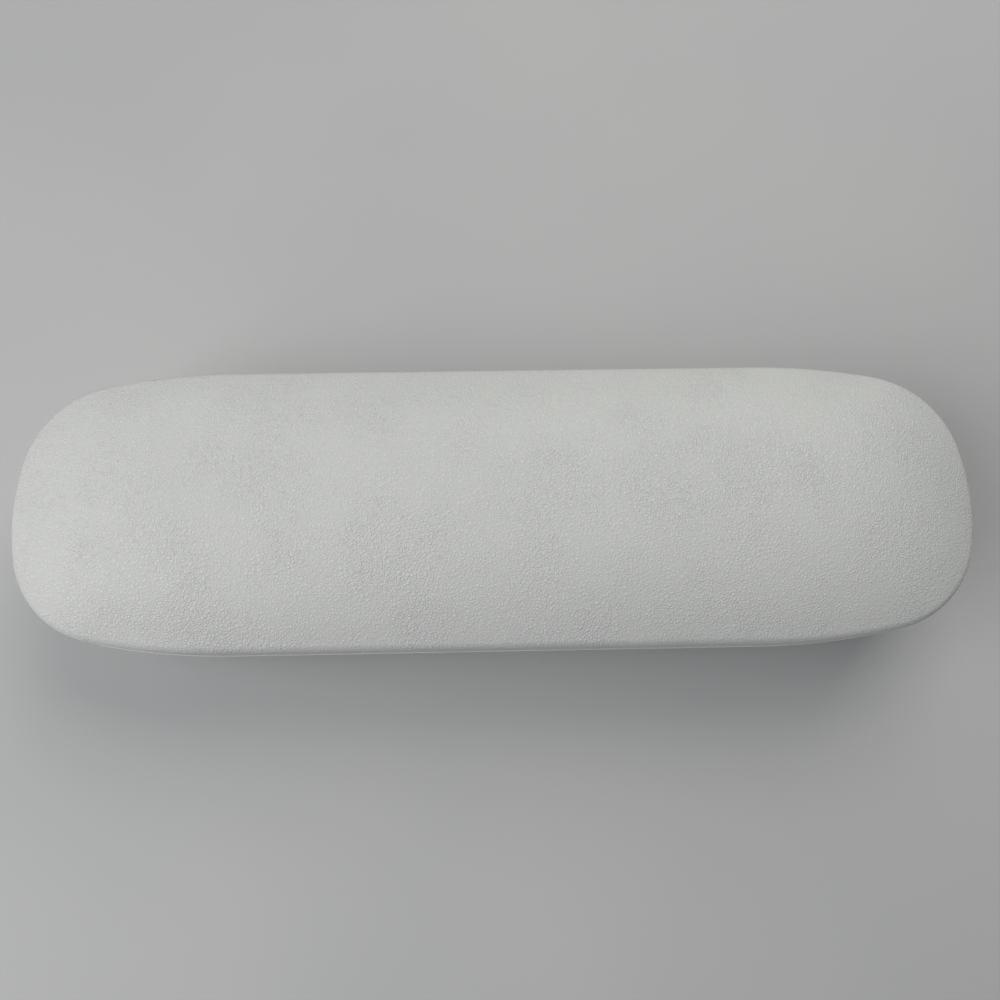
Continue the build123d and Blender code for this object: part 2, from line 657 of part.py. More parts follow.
def leaf_screws(places):
    """Two small round-headed screws on each place."""
    with BuildPart() as screws:
        for place in places:
            with BuildPart(place, mode=Mode.PRIVATE) as pair:
                with Locations(*LEAF_SCREW_PLACES):
                    Cylinder(
                        LEAF_SCREW_HEAD_RADIUS,
                        LEAF_SCREW_HEAD,
                        align=(Align.CENTER, Align.CENTER, Align.MIN),
                    )
                    Cylinder(
                        LEAF_SCREW_RADIUS,
                        LEAF + FIT + LEAF_SCREW_BITE,
                        align=(Align.CENTER, Align.CENTER, Align.MAX),
                    )
            add(pair.part)
    return screws.part


BASE_LEAF_END = BARREL_BOTTOM - LEAF_DEPTH
BASE_LEAF_OUTLINE = [
    (AXIS_Y, BARREL_BOTTOM),
    (base_wall_y(BARREL_BOTTOM) - FIT, BARREL_BOTTOM),
    (base_wall_y(BASE_LEAF_END) - FIT, BASE_LEAF_END),
    (base_wall_y(BASE_LEAF_END) - FIT - LEAF, BASE_LEAF_END),
    (base_wall_y(BARREL_BOTTOM + LEAF) - FIT - LEAF, BARREL_BOTTOM + LEAF),
    (AXIS_Y, BARREL_BOTTOM + LEAF),
]
LID_LEAF_Y = WIDTH / 2 - LID_SKIN - FIT
LID_LEAF_OUTLINE = [
    (AXIS_Y, BARREL_TOP),
    (LID_LEAF_Y, BARREL_TOP),
    (LID_LEAF_Y, BARREL_TOP - LEAF + LID_LEAF_DEPTH),
    (LID_LEAF_Y - LEAF, BARREL_TOP - LEAF + LID_LEAF_DEPTH),
    (LID_LEAF_Y - LEAF, BARREL_TOP - LEAF),
    (AXIS_Y, BARREL_TOP - LEAF),
]
for side, sign in (("left", -1), ("right", 1)):
    hinge_x = sign * HINGE_X
    save(
        hinge_leaf(hinge_x, BASE_LEAF_OUTLINE, (0, 2), base_screw_plane(hinge_x)),
        f"base_hinge_leaf_{side}",
    )
    save(
        hinge_leaf(hinge_x, LID_LEAF_OUTLINE, (1,), lid_screw_plane(hinge_x)),
        f"lid_hinge_leaf_{side}",
    )
    with BuildPart() as hinge_pin:
        with Locations(Plane(origin=(hinge_x, AXIS_Y, AXIS_Z), z_dir=(1, 0, 0))):
            Cylinder(PIN_RADIUS, HINGE_LENGTH)
    save(hinge_pin.part, f"hinge_pin_{side}")
save(leaf_screws([base_screw_plane(-HINGE_X), base_screw_plane(HINGE_X)]), "base_hinge_screws")
save(leaf_screws([lid_screw_plane(-HINGE_X), lid_screw_plane(HINGE_X)]), "lid_hinge_screws")


# ================================================================== charging gear
BOBBIN_AXIS = Plane(origin=(COIL_X, HANDLE_Y, HANDLE_Z), x_dir=(0, 1, 0), z_dir=(-1, 0, 0))
with BuildPart() as coil_bobbin:
    for step in (0, BOBBIN_LENGTH - BOBBIN_FLANGE):
        with BuildSketch(Plane.YZ.offset(COIL_X - step - BOBBIN_FLANGE)):
            with Locations((HANDLE_Y, HANDLE_Z)):
                Circle(BOBBIN_RADIUS)
                Rectangle(
                    BOBBIN_FOOT, HANDLE_Z - BOARD_TOP - FIT / 2, align=(Align.CENTER, Align.MAX)
                )
        extrude(amount=BOBBIN_FLANGE)
    with Locations(BOBBIN_AXIS):
        Cylinder(BOBBIN_HUB, BOBBIN_LENGTH, align=(Align.CENTER, Align.CENTER, Align.MIN))
    with Locations((COIL_X, HANDLE_Y, BOARD_TOP + FIT / 2)):
        Box(BOBBIN_LENGTH, BOBBIN_FOOT, BOBBIN_BASE, align=(Align.MAX, Align.CENTER, Align.MIN))
    with Locations(BOBBIN_AXIS):
        Cylinder(CORE_RADIUS + FIT, 3 * BOBBIN_LENGTH, mode=Mode.SUBTRACT)
    with Locations((COIL_X - BOBBIN_LENGTH / 2, HANDLE_Y, BOARD_TOP)):
        with GridLocations(0, BOBBIN_PIN_SPACING, 1, 2):
            Cylinder(BOBBIN_PIN_RADIUS + PIN_FIT, 2 * BOBBIN_BASE, mode=Mode.SUBTRACT)
save(coil_bobbin.part, "coil_bobbin")

with BuildPart() as charging_coil:
    with Locations(Plane(origin=(COIL_X - BOBBIN_LENGTH / 2, HANDLE_Y, HANDLE_Z), z_dir=(1, 0, 0))):
        Cylinder(COIL_RADIUS, COIL_LENGTH - FIT)
        Cylinder(BOBBIN_HUB + FIT / 2, COIL_LENGTH, mode=Mode.SUBTRACT)
save(charging_coil.part, "charging_coil")

with BuildPart() as ferrite_core:
    with Locations(Plane(origin=(COIL_X, HANDLE_Y, HANDLE_Z), z_dir=(-1, 0, 0))):
        Cylinder(CORE_RADIUS, BOBBIN_LENGTH + FIT, align=(Align.CENTER, Align.CENTER, Align.MIN))
    disc_x = COIL_X - BOBBIN_LENGTH - FIT
    with Locations(Plane(origin=(disc_x, HANDLE_Y, HANDLE_Z), z_dir=(-1, 0, 0))):
        Cylinder(BOBBIN_RADIUS, CORE_DISC - FIT, align=(Align.CENTER, Align.CENTER, Align.MIN))
save(ferrite_core.part, "ferrite_core")

with BuildPart() as bobbin_pins:
    with Locations((COIL_X - BOBBIN_LENGTH / 2, HANDLE_Y, BOARD_TOP + BOBBIN_BASE)):
        with GridLocations(0, BOBBIN_PIN_SPACING, 1, 2):
            Cylinder(
                BOBBIN_PIN_RADIUS,
                BOARD_THICKNESS + 2 * BOBBIN_BASE,
                align=(Align.CENTER, Align.CENTER, Align.MAX),
            )
save(bobbin_pins.part, "bobbin_pins")

BOARD_X = FOOT_X - BOARD_LEFT
with BuildPart() as circuit_board:
    with BuildSketch(Plane.XY.offset(BOARD_Z)):
        with Locations((BOARD_X, HANDLE_Y + BOARD_FRONT)):
            Rectangle(
                BOARD_RIGHT + BOARD_LEFT, BOARD_BACK - BOARD_FRONT, align=(Align.MIN, Align.MIN)
            )
        with Locations((BOARD_X, HANDLE_Y - BOARD_LEG)):
            Rectangle(
                BOARD_LEFT - TRAY_WALL - BOARD_CLEARANCE,
                BOARD_LEG + BOARD_FRONT,
                align=(Align.MIN, Align.MIN),
            )
        add(plan(BOARD_INSET, 0), mode=Mode.INTERSECT)
    extrude(amount=BOARD_THICKNESS)
    with Locations(*[(x, y, BOARD_Z) for x, y in board_screw_spots()]):
        Cylinder(BOARD_SCREW_RADIUS + FIT, 3 * BOARD_THICKNESS, mode=Mode.SUBTRACT)
    with Locations((COIL_X - BOBBIN_LENGTH / 2, HANDLE_Y, BOARD_Z)):
        with GridLocations(0, BOBBIN_PIN_SPACING, 1, 2):
            Cylinder(BOBBIN_PIN_RADIUS + PIN_FIT, 3 * BOARD_THICKNESS, mode=Mode.SUBTRACT)
save(circuit_board.part, "circuit_board")

with BuildPart() as board_screws:
    with Locations(*[(x, y, BOARD_TOP) for x, y in board_screw_spots()]):
        Cylinder(
            BOARD_SCREW_HEAD_RADIUS, BOARD_SCREW_HEAD, align=(Align.CENTER, Align.CENTER, Align.MIN)
        )
        Cylinder(
            BOARD_SCREW_RADIUS,
            BOARD_THICKNESS + BOARD_SCREW_BITE,
            align=(Align.CENTER, Align.CENTER, Align.MAX),
        )
save(board_screws.part, "board_screws")

CHIP_Y = HANDLE_Y + (BOARD_FRONT + BOARD_BACK) / 2
with BuildPart() as driver_chip:
    with Locations((FOOT_X + CHIP_PLACE, CHIP_Y, BOARD_TOP)):
        Box(CHIP_SIZE, CHIP_SIZE, CHIP_HEIGHT, align=(Align.CENTER, Align.CENTER, Align.MIN))
save(driver_chip.part, "driver_chip")

with BuildPart() as power_inductor:
    with Locations((FOOT_X + INDUCTOR_PLACE, CHIP_Y, BOARD_TOP)):
        Cylinder(INDUCTOR_RADIUS, INDUCTOR_HEIGHT, align=(Align.CENTER, Align.CENTER, Align.MIN))
save(power_inductor.part, "power_inductor")

with BuildPart() as capacitors:
    with Locations((FOOT_X + CAPACITOR_PLACE, CHIP_Y, BOARD_TOP)):
        with GridLocations(0, CAPACITOR_SPACING, 1, 2):
            Cylinder(
                CAPACITOR_RADIUS, CAPACITOR_HEIGHT, align=(Align.CENTER, Align.CENTER, Align.MIN)
            )
save(capacitors.part, "capacitors")

WALL_SLOPE = radians(DRAFT)
SOCKET_WALL_Y = WIDTH / 2 - (RIM_Z - SOCKET_Z) * tan(WALL_SLOPE)
SOCKET_MOUTH_Y = SOCKET_WALL_Y - SOCKET_RECESS
with BuildPart() as usb_socket:
    with Locations((SOCKET_X, SOCKET_MOUTH_Y, SOCKET_Z)):
        Box(SOCKET_WIDTH, SOCKET_DEPTH, SOCKET_HEIGHT, align=(Align.CENTER, Align.MAX, Align.CENTER))
    fillet(usb_socket.edges().filter_by(Axis.Y), SOCKET_METAL * 2)
    with Locations((SOCKET_X, SOCKET_MOUTH_Y, SOCKET_Z)):
        Box(
            SOCKET_WIDTH - 2 * SOCKET_METAL,
            2 * (SOCKET_DEPTH - 2 * SOCKET_METAL),
            SOCKET_HEIGHT - 2 * SOCKET_METAL,
            mode=Mode.SUBTRACT,
        )
save(usb_socket.part, "usb_socket")

with BuildPart() as usb_tongue:
    with Locations((SOCKET_X, SOCKET_MOUTH_Y - SOCKET_DEPTH + 2 * SOCKET_METAL, SOCKET_Z)):
        Box(
            SOCKET_WIDTH - 2 * SOCKET_METAL - FIT,
            TONGUE_ROOT,
            SOCKET_HEIGHT - 2 * SOCKET_METAL - FIT,
            align=(Align.CENTER, Align.MIN, Align.CENTER),
        )
        Box(
            SOCKET_WIDTH - 2 * SOCKET_METAL - 2 * TONGUE_SIDE_ROOM,
            TONGUE_ROOT + TONGUE_REACH,
            TONGUE_THICKNESS,
            align=(Align.CENTER, Align.MIN, Align.CENTER),
        )
save(usb_tongue.part, "usb_tongue")

with BuildPart() as socket_bezel:
    flange_plane = Plane(
        origin=(SOCKET_X, SOCKET_WALL_Y, SOCKET_Z),
        x_dir=(-1, 0, 0),
        z_dir=(0, cos(WALL_SLOPE), -sin(WALL_SLOPE)),
    )
    with BuildSketch(flange_plane):
        RectangleRounded(
            BEZEL_WIDTH + 2 * BEZEL_FLANGE, BEZEL_HEIGHT + 2 * BEZEL_FLANGE, 2 * BEZEL_FLANGE
        )
    extrude(amount=BEZEL_PROUD, both=True)
    add(hull_form(0), mode=Mode.SUBTRACT)
    with Locations((SOCKET_X, SOCKET_WALL_Y - BEZEL_DEPTH, SOCKET_Z)):
        Box(BEZEL_WIDTH, BEZEL_DEPTH, BEZEL_HEIGHT, align=(Align.CENTER, Align.MIN, Align.CENTER))
        Box(
            SOCKET_WIDTH + 2 * BEZEL_MOUTH,
            2 * (BEZEL_DEPTH + OVERRUN),
            SOCKET_HEIGHT + 2 * BEZEL_MOUTH,
            mode=Mode.SUBTRACT,
        )
save(socket_bezel.part, "socket_bezel")


# ================================================================== lid
def crown_form(inset):
    """Block whose top is the lid's crown, drawn in by inset: arched across and along."""
    turn = asin((LENGTH / 2 - END_ARCH_LENGTH) / LONG_ARCH_RADIUS)
    shift = LONG_ARCH_RADIUS - END_ARCH_RADIUS
    end_x = shift * sin(turn)
    end_z = CROWN_Z - LONG_ARCH_RADIUS + shift * cos(turn)
    reach = asin((LENGTH / 2 + OVERRUN - end_x) / END_ARCH_RADIUS)
    half_width = WIDTH / 2 + OVERRUN
    depth = LID_RISE + 2 * OVERRUN
    section_radius = SIDE_ARCH_RADIUS - inset
    edge_drop = SIDE_ARCH_RADIUS - sqrt(section_radius**2 - half_width**2)
    spans = [
        (0, CROWN_Z - LONG_ARCH_RADIUS, LONG_ARCH_RADIUS, -turn, turn),
        (end_x, end_z, END_ARCH_RADIUS, turn, reach),
        (-end_x, end_z, END_ARCH_RADIUS, -reach, -turn),
    ]
    with BuildPart() as block:
        for x, z, radius, start, stop in spans:
            section_plane = Plane(
                origin=(x, 0, z), x_dir=(0, 1, 0), z_dir=(cos(start), 0, -sin(start))
            )
            with BuildSketch(section_plane) as section:
                with BuildLine():
                    ThreePointArc(
                        (-half_width, radius - edge_drop),
                        (0, radius - inset),
                        (half_width, radius - edge_drop),
                    )
                    Polyline(
                        (half_width, radius - edge_drop),
                        (half_width, radius - depth),
                        (-half_width, radius - depth),
                        (-half_width, radius - edge_drop),
                    )
                make_face()
            revolve(
                section.sketch,
                axis=Axis((x, 0, z), (0, 1, 0)),
                revolution_arc=degrees(stop - start),
            )
    return block.part


def lid_form(inset, crown_inset, roll, bottom):
    """Lid drawn in by inset at the sides and crown_inset on top, above bottom."""
    with BuildPart() as form:
        extrude(plan(inset, bottom), amount=LID_RISE)
        add(crown_form(crown_inset), mode=Mode.INTERSECT)
        arched = form.faces().filter_by(GeomType.TORUS)
        upright = form.faces().filter_by(lambda face: face.geom_type != GeomType.TORUS)
        shared = [edge for edge in arched.edges() if edge in upright.edges()]
        fillet(shared, roll)
        if inset < EDGE_RELIEF:
            add(back_relief(inset, bottom, 1), mode=Mode.SUBTRACT)
    return form.part


LID_NOTCH_Y = LID_LEAF_Y - LEAF - NOTCH_CLEARANCE
LID_NOTCH_Z = BARREL_TOP + NOTCH_CLEARANCE
RING_INSET = LID_SKIN + FIT
with BuildPart() as lid_cover:
    add(lid_form(0, 0, EDGE_ROLL, LID_EDGE))
    add(lid_form(COVER, COVER, EDGE_ROLL - COVER, LID_EDGE + COVER), mode=Mode.SUBTRACT)
    extrude(plan(RING_INSET + COVER, LID_EDGE), amount=COVER, mode=Mode.SUBTRACT)
    with BuildPart(mode=Mode.PRIVATE) as ring:
        extrude(plan(RING_INSET, LID_EDGE + COVER / 2), amount=TURN_IN)
        extrude(
            plan(RING_INSET + COVER, LID_EDGE + COVER / 2), amount=TURN_IN, mode=Mode.SUBTRACT
        )
    add(ring.part)
    add(wall_notch(LID_NOTCH_Y, WIDTH / 2 + OVERRUN, LID_EDGE, LID_NOTCH_Z), mode=Mode.SUBTRACT)
    ring_top = LID_EDGE + COVER + TURN_IN
    add(wall_notch(LID_NOTCH_Y, LID_LEAF_Y + FIT, LID_EDGE, ring_top), mode=Mode.SUBTRACT)
save(lid_cover.part, "lid_cover")

with BuildPart() as lid_shell:
    shell_inset = COVER + GLUE
    add(lid_form(shell_inset, shell_inset, EDGE_ROLL - shell_inset, LID_EDGE + shell_inset))
    add(lid_form(LID_SKIN, LID_SKIN, INNER_ROLL, LID_EDGE), mode=Mode.SUBTRACT)
    add(wall_notch(LID_NOTCH_Y, WIDTH / 2 + OVERRUN, LID_EDGE, LID_NOTCH_Z), mode=Mode.SUBTRACT)
    for side in (-1, 1):
        add(leaf_screw_holes(lid_screw_plane(side * HINGE_X)), mode=Mode.SUBTRACT)
save(lid_shell.part, "lid_shell")

FLANGE_Z = LID_EDGE + LINER_RISE
with BuildPart() as lid_liner:
    add(lid_form(MOUTH_INSET - LINER_WALL, LID_STACK - LINER_WALL, LINER_ROLL, FLANGE_Z))
    extrude(plan(RING_INSET + COVER + FIT, FLANGE_Z), amount=LINER_FLANGE)
    add(lid_form(MOUTH_INSET, LID_STACK, LINER_ROLL - LINER_WALL, FLANGE_Z), mode=Mode.SUBTRACT)
    add(wall_notch(LID_NOTCH_Y, WIDTH / 2, LID_EDGE, LID_NOTCH_Z), mode=Mode.SUBTRACT)
save(lid_liner.part, "lid_liner")

magnet_top = FLANGE_Z + LINER_FLANGE + FIT + MAGNET_HEIGHT
for side, place in zip(("left", "right"), magnet_places(magnet_top)):
    save(magnet(place), f"lid_magnet_{side}")

ceiling = lid_form(
    MOUTH_INSET + SOFT_GAP, LID_STACK + SOFT_GAP, LINER_ROLL - LINER_WALL, LID_EDGE
)
for name, reach in (("foot", -HANDLE_PAD_REACH), ("neck", HANDLE_PAD_REACH)):
    with BuildPart() as lid_pad:
        with Locations((HANDLE_MIDDLE + reach, HANDLE_Y, HANDLE_Z + LID_PAD_WRAP)):
            Box(
                LID_PAD_LENGTH,
                LID_PAD_SPAN,
                LID_RISE,
                align=(Align.CENTER, Align.CENTER, Align.MIN),
            )
        fillet(lid_pad.edges().filter_by(Axis.Z), LID_PAD_ROUND)
        add(ceiling, mode=Mode.INTERSECT)
        with Locations(Plane(origin=(HANDLE_MIDDLE + reach, HANDLE_Y, HANDLE_Z), z_dir=(1, 0, 0))):
            Cylinder(HANDLE_RADIUS + LID_PAD_GAP, 2 * LID_PAD_LENGTH, mode=Mode.SUBTRACT)
    save(lid_pad.part, f"lid_pad_{name}")
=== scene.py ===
# %% [markdown]
# # A leatherette travel case for an electric toothbrush
#
# The case is a hard clamshell. Two moulded shells are wrapped in white leatherette, a
# moulded tray in the base holds the toothbrush and two spare brush heads, and a formed
# liner with two foam pads fills the lid. The solid model comes in first as a fixed frame.
# Every piece made here stands where that frame says, in metres, with its object at the
# origin and its place in its mesh.

import json
import math

import bmesh
import bpy
import numpy as np
from mathutils import Matrix, Vector


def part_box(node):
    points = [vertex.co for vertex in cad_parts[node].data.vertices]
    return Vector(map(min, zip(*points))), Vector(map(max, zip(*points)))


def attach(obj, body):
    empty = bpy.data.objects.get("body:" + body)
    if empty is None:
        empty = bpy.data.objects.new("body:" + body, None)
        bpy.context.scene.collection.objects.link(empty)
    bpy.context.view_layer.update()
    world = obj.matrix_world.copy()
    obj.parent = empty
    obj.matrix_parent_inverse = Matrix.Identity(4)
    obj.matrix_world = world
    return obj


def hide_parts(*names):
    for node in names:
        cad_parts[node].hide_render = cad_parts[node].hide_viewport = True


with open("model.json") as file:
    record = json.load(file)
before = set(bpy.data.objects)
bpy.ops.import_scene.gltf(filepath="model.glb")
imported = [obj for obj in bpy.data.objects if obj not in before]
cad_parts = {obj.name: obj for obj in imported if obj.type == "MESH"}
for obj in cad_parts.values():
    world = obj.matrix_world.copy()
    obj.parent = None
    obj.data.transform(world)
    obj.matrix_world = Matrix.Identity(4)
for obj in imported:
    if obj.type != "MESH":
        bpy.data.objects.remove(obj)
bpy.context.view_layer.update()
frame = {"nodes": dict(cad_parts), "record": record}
nodes = frame["nodes"]
MM = 0.001

# %% [markdown]
# ## Camera
#
# The case is seen from almost straight above, a little from the front. A camera is placed
# by its own spot, the spot it aims at and a small roll about its line of sight, which is
# easier to reason about than three angles.

# %% Camera
CAMERA_SPOT = Vector((-3.28, -50.11, 246.15)) * MM
CAMERA_AIM = Vector((1.03, 3.02, 26.15)) * MM
CAMERA_ROLL = math.radians(-1.162)
CAMERA_LENS = 31.23


def make_camera(spot, aim, roll, lens):
    """Camera at spot that looks at aim, turned by roll about its line of sight."""
    forward = (aim - spot).normalized()
    right = forward.cross(Vector((0, 1, 0))).normalized()
    up = right.cross(forward)
    side = right * math.cos(roll) + up * math.sin(roll)
    top = up * math.cos(roll) - right * math.sin(roll)
    turn = Matrix((side, top, -forward)).transposed().to_4x4()
    camera = bpy.data.objects.new("camera", bpy.data.cameras.new("camera"))
    camera.matrix_world = Matrix.Translation(spot) @ turn
    camera.data.lens = lens
    camera.data.clip_start = 1 * MM
    bpy.context.collection.objects.link(camera)
    return camera


bpy.context.scene.camera = make_camera(CAMERA_SPOT, CAMERA_AIM, CAMERA_ROLL, CAMERA_LENS)
bpy.context.scene.view_settings.view_transform = "Standard"
print("camera", round((CAMERA_AIM - CAMERA_SPOT).length / MM), "mm from what it aims at")

# %% [markdown]
# ## Shader arithmetic
#
# A material is mostly sums and products of patterns. Wiring each Math node by hand hides
# the sum, so a small class stands for an output socket, and +, -, * and / on it add the
# nodes. The materials below then read like the formulas that they are. A geometry tree has
# the same Math node, so the same class serves there.


# %% Shader arithmetic
def pick(sockets, key):
    """The socket with this number, identifier or name; a Mix node repeats its names."""
    if isinstance(key, int):
        return sockets[key]
    return next((s for s in sockets if s.identifier == key), None) or sockets[key]


class Field:
    """An output socket of a shader tree that can be used in arithmetic."""

    def __init__(self, tree, socket):
        self.tree = tree
        self.socket = socket

    def node(self, kind, inputs, output=0, **settings):
        """Add a node, feed its inputs from fields or numbers, and return its output."""
        made = self.tree.nodes.new(kind)
        for name, value in settings.items():
            setattr(made, name, value)
        for name, value in inputs.items():
            socket = pick(made.inputs, name)
            if isinstance(value, Field):
                self.tree.links.new(value.socket, socket)
            else:
                socket.default_value = value
        return Field(self.tree, pick(made.outputs, output))

    def math(self, operation, other=0.0, swap=False):
        """Math node on this field and another value, in this order unless swapped."""
        first, second = (other, self) if swap else (self, other)
        return self.node("ShaderNodeMath", {0: first, 1: second}, operation=operation)

    def __add__(self, other):
        return self.math("ADD", other)

    def __sub__(self, other):
        return self.math("SUBTRACT", other)

    def __rsub__(self, other):
        return self.math("SUBTRACT", other, swap=True)

    def __mul__(self, other):
        return self.math("MULTIPLY", other)

    def __truediv__(self, other):
        return self.math("DIVIDE", other)

    def __rtruediv__(self, other):
        return self.math("DIVIDE", other, swap=True)

    __radd__ = __add__
    __rmul__ = __mul__

    def ramp(self, low, high):
        """0 below low, 1 above high, and straight from one to the other."""
        return self.node("ShaderNodeMapRange", {"Value": self, "From Min": low, "From Max": high})

    def between(self, low, high):
        """0 below low, 1 above high, and smooth from one to the other."""
        inputs = {"Value": self, "From Min": low, "From Max": high}
        return self.node("ShaderNodeMapRange", inputs, interpolation_type="SMOOTHSTEP")

    def blend(self, start, end):
        """Colour that goes from start to end as this field goes from 0 to 1."""
        inputs = {"Factor_Float": self, "A_Color": start, "B_Color": end}
        return self.node("ShaderNodeMix", inputs, output="Result_Color", data_type="RGBA")


def rgba(red, green, blue):
    return (red, green, blue, 1.0)


# %% [markdown]
# A new material starts with its shader and its coordinates. Object coordinates are in
# metres, so they are scaled to millimetres once, and every pattern's size below is then
# its size on the real piece.


# %% Start of a material
def start_material(name, roughness=0.5, metallic=0.0, colour=(0.5, 0.5, 0.5)):
    """New material with a Principled shader; returns it, the shader and its place field."""
    material = bpy.data.materials.new(name)
    material.use_nodes = True
    shader = material.node_tree.nodes["Principled BSDF"]
    shader.inputs["Roughness"].default_value = roughness
    shader.inputs["Metallic"].default_value = metallic
    shader.inputs["Base Color"].default_value = rgba(*colour)
    coordinates = material.node_tree.nodes.new("ShaderNodeTexCoord")
    root = Field(material.node_tree, coordinates.outputs["Object"])
    place = root.node("ShaderNodeMapping", {"Vector": root, "Scale": (1 / MM,) * 3})
    return material, shader, place


def feed(shader, **fields):
    """Link fields to the shader's inputs, with _ for the space in an input's name."""
    for name, field in fields.items():
        field.tree.links.new(field.socket, shader.inputs[name.replace("_", " ")])


def noise(place, size, detail=2.0, roughness=0.5):
    """Soft noise whose blotches are about size millimetres across."""
    inputs = {"Vector": place, "Scale": 1 / size, "Detail": detail, "Roughness": roughness}
    return place.node("ShaderNodeTexNoise", inputs)


def cell_edges(place, size):
    """Distance to the nearest edge in a pattern of cells about size millimetres across."""
    inputs = {"Vector": place, "Scale": 1 / size}
    settings = {"output": "Distance", "feature": "DISTANCE_TO_EDGE"}
    return place.node("ShaderNodeTexVoronoi", inputs, **settings)


def bump(height, depth):
    """Normal that follows a height of 0 to 1, which stands for depth millimetres."""
    return height.node("ShaderNodeBump", {"Height": height, "Distance": depth * MM})


# %% [markdown]
# ## Leatherette
#
# The skin is a coated fabric with an embossed grain: small rounded pebbles with narrow
# creases between them. A cell pattern gives the creases, from the distance to a cell's
# edge. Its coordinates are pushed about by noise first, because straight cell edges look
# like cracked glass. The pebbles differ in height, and a slow noise lets the grain fade
# and return as it does where the skin was stretched. The creases are painted a little
# darker as painted shade, and a slow mottle varies the tone at random.

# %% Leatherette
PEBBLE = 0.78
GRAIN_DEPTH = 0.135
CREASE = 0.30
PUSH = 0.85
PUSH_SCALE = 1.1
SKIN_LIGHT = (0.610, 0.614, 0.602)
# Darker skin colour: painted shade in the creases, and the dark side of a random mottle.
SKIN_CREASE_SHADE_AND_MOTTLE = (0.560, 0.565, 0.553)


def make_leatherette():
    material, shader, place = start_material("leatherette", roughness=0.5)
    field = {"Vector": place, "Scale": PUSH_SCALE}
    push = {0: place.node("ShaderNodeTexNoise", field, output="Color"), 1: (PUSH,) * 3, 2: place}
    pushed = place.node("ShaderNodeVectorMath", push, operation="MULTIPLY_ADD")
    pebble = cell_edges(pushed, PEBBLE).between(0.0, CREASE)
    swell = noise(place, 0.95, detail=1.5)
    fine = noise(place, 0.30, detail=1.0)
    stretch = noise(place, 16.0, detail=1.0).between(0.30, 0.72)
    grain = pebble * (swell * 0.8 + 0.3) * (stretch * 0.4 + 0.6) + swell * 0.3 + fine * 0.10
    mottle = noise(place, 34.0, detail=2.0).between(0.3, 0.7)
    # Painted shade: the creases take the darker colour; a slow mottle varies the tone at random.
    skin = (pebble * 0.75 + mottle * 0.25).blend(rgba(*SKIN_CREASE_SHADE_AND_MOTTLE), rgba(*SKIN_LIGHT))
    feed(
        shader,
        Base_Color=skin,
        Roughness=pebble * -0.08 + fine * 0.06 + 0.56,
        Normal=bump(grain, GRAIN_DEPTH),
    )
    return material


leatherette = make_leatherette()
print("leatherette with", len(leatherette.node_tree.nodes), "shader nodes")

# %% [markdown]
# ## The other finishes
#
# Moulded plastic carries the spark-eroded texture of its mould, a fine even noise. The
# soft liners in the pockets are rubber with a matte skin. Plated steel shows the drag
# marks of rolling along one direction, so its noise is stretched. Each finish names the
# numbers that set it apart and leaves the rest to one maker.


# %% Moulded plastics
def make_moulded(name, colour, roughness, texture=0.16, depth=0.008):
    """Plastic with the fine texture of its mould and a slow change of gloss."""
    material, shader, place = start_material(name, roughness, colour=colour)
    spark = noise(place, texture, detail=2.0, roughness=0.6)
    flow = noise(place, 22.0, detail=2.0).between(0.3, 0.7)
    shade = tuple(channel * 0.95 for channel in colour)
    feed(
        shader,
        Base_Color=flow.blend(rgba(*shade), rgba(*colour)),
        Roughness=spark * 0.10 + flow * 0.05 + (roughness - 0.07),
        Normal=bump(spark, depth),
    )
    return material


finish = {
    "leatherette": leatherette,
    "shell_plastic": make_moulded("shell_plastic", (0.62, 0.62, 0.60), 0.5),
    "tray_plastic": make_moulded("tray_plastic", (0.66, 0.665, 0.65), 0.42),
    "liner_plastic": make_moulded("liner_plastic", (0.52, 0.53, 0.53), 0.55, texture=0.3),
    "black_plastic": make_moulded("black_plastic", (0.022, 0.022, 0.024), 0.45),
    "ferrite": make_moulded("ferrite", (0.035, 0.035, 0.038), 0.6, texture=0.35, depth=0.02),
    "soft_liner": make_moulded("soft_liner", (0.14, 0.145, 0.15), 0.75, texture=0.4, depth=0.02),
}
print("moulded finishes:", sorted(finish))


# %% Metals
def make_metal(name, colour, roughness, drag):
    """Metal with drag marks: noise stretched by the three numbers of drag."""
    material, shader, place = start_material(name, roughness, 1.0, colour)
    along = place.node("ShaderNodeMapping", {"Vector": place, "Scale": drag})
    marks = noise(along, 1.0, detail=3.0)
    worn = noise(place, 3.5, detail=2.0).between(0.35, 0.7)
    dull = tuple(channel * 0.86 for channel in colour)
    feed(
        shader,
        Base_Color=worn.blend(rgba(*dull), rgba(*colour)),
        Roughness=marks * 0.16 + worn * 0.05 + (roughness - 0.1),
        Normal=bump(marks, 0.004),
    )
    return material


finish["steel"] = make_metal("steel", (0.60, 0.60, 0.61), 0.32, (0.8, 7.0, 7.0))
finish["magnet_plating"] = make_metal("magnet_plating", (0.66, 0.65, 0.63), 0.2, (2.0, 2.0, 2.0))
finish["capacitor_can"] = make_metal("capacitor_can", (0.70, 0.70, 0.71), 0.3, (6.0, 6.0, 1.0))
finish["coil_wire"] = make_metal("coil_wire", (0.72, 0.30, 0.12), 0.28, (3.0, 3.0, 3.0))
print("metals:", ["steel", "magnet_plating", "capacitor_can", "coil_wire"])

# %% [markdown]
# The foam pads are wrapped in brushed cloth, so their bump is short soft fibre with a
# faint weave under it, and they have a little sheen. The circuit board's solder mask is
# glossy, with the copper tracks showing as a slightly lighter green.


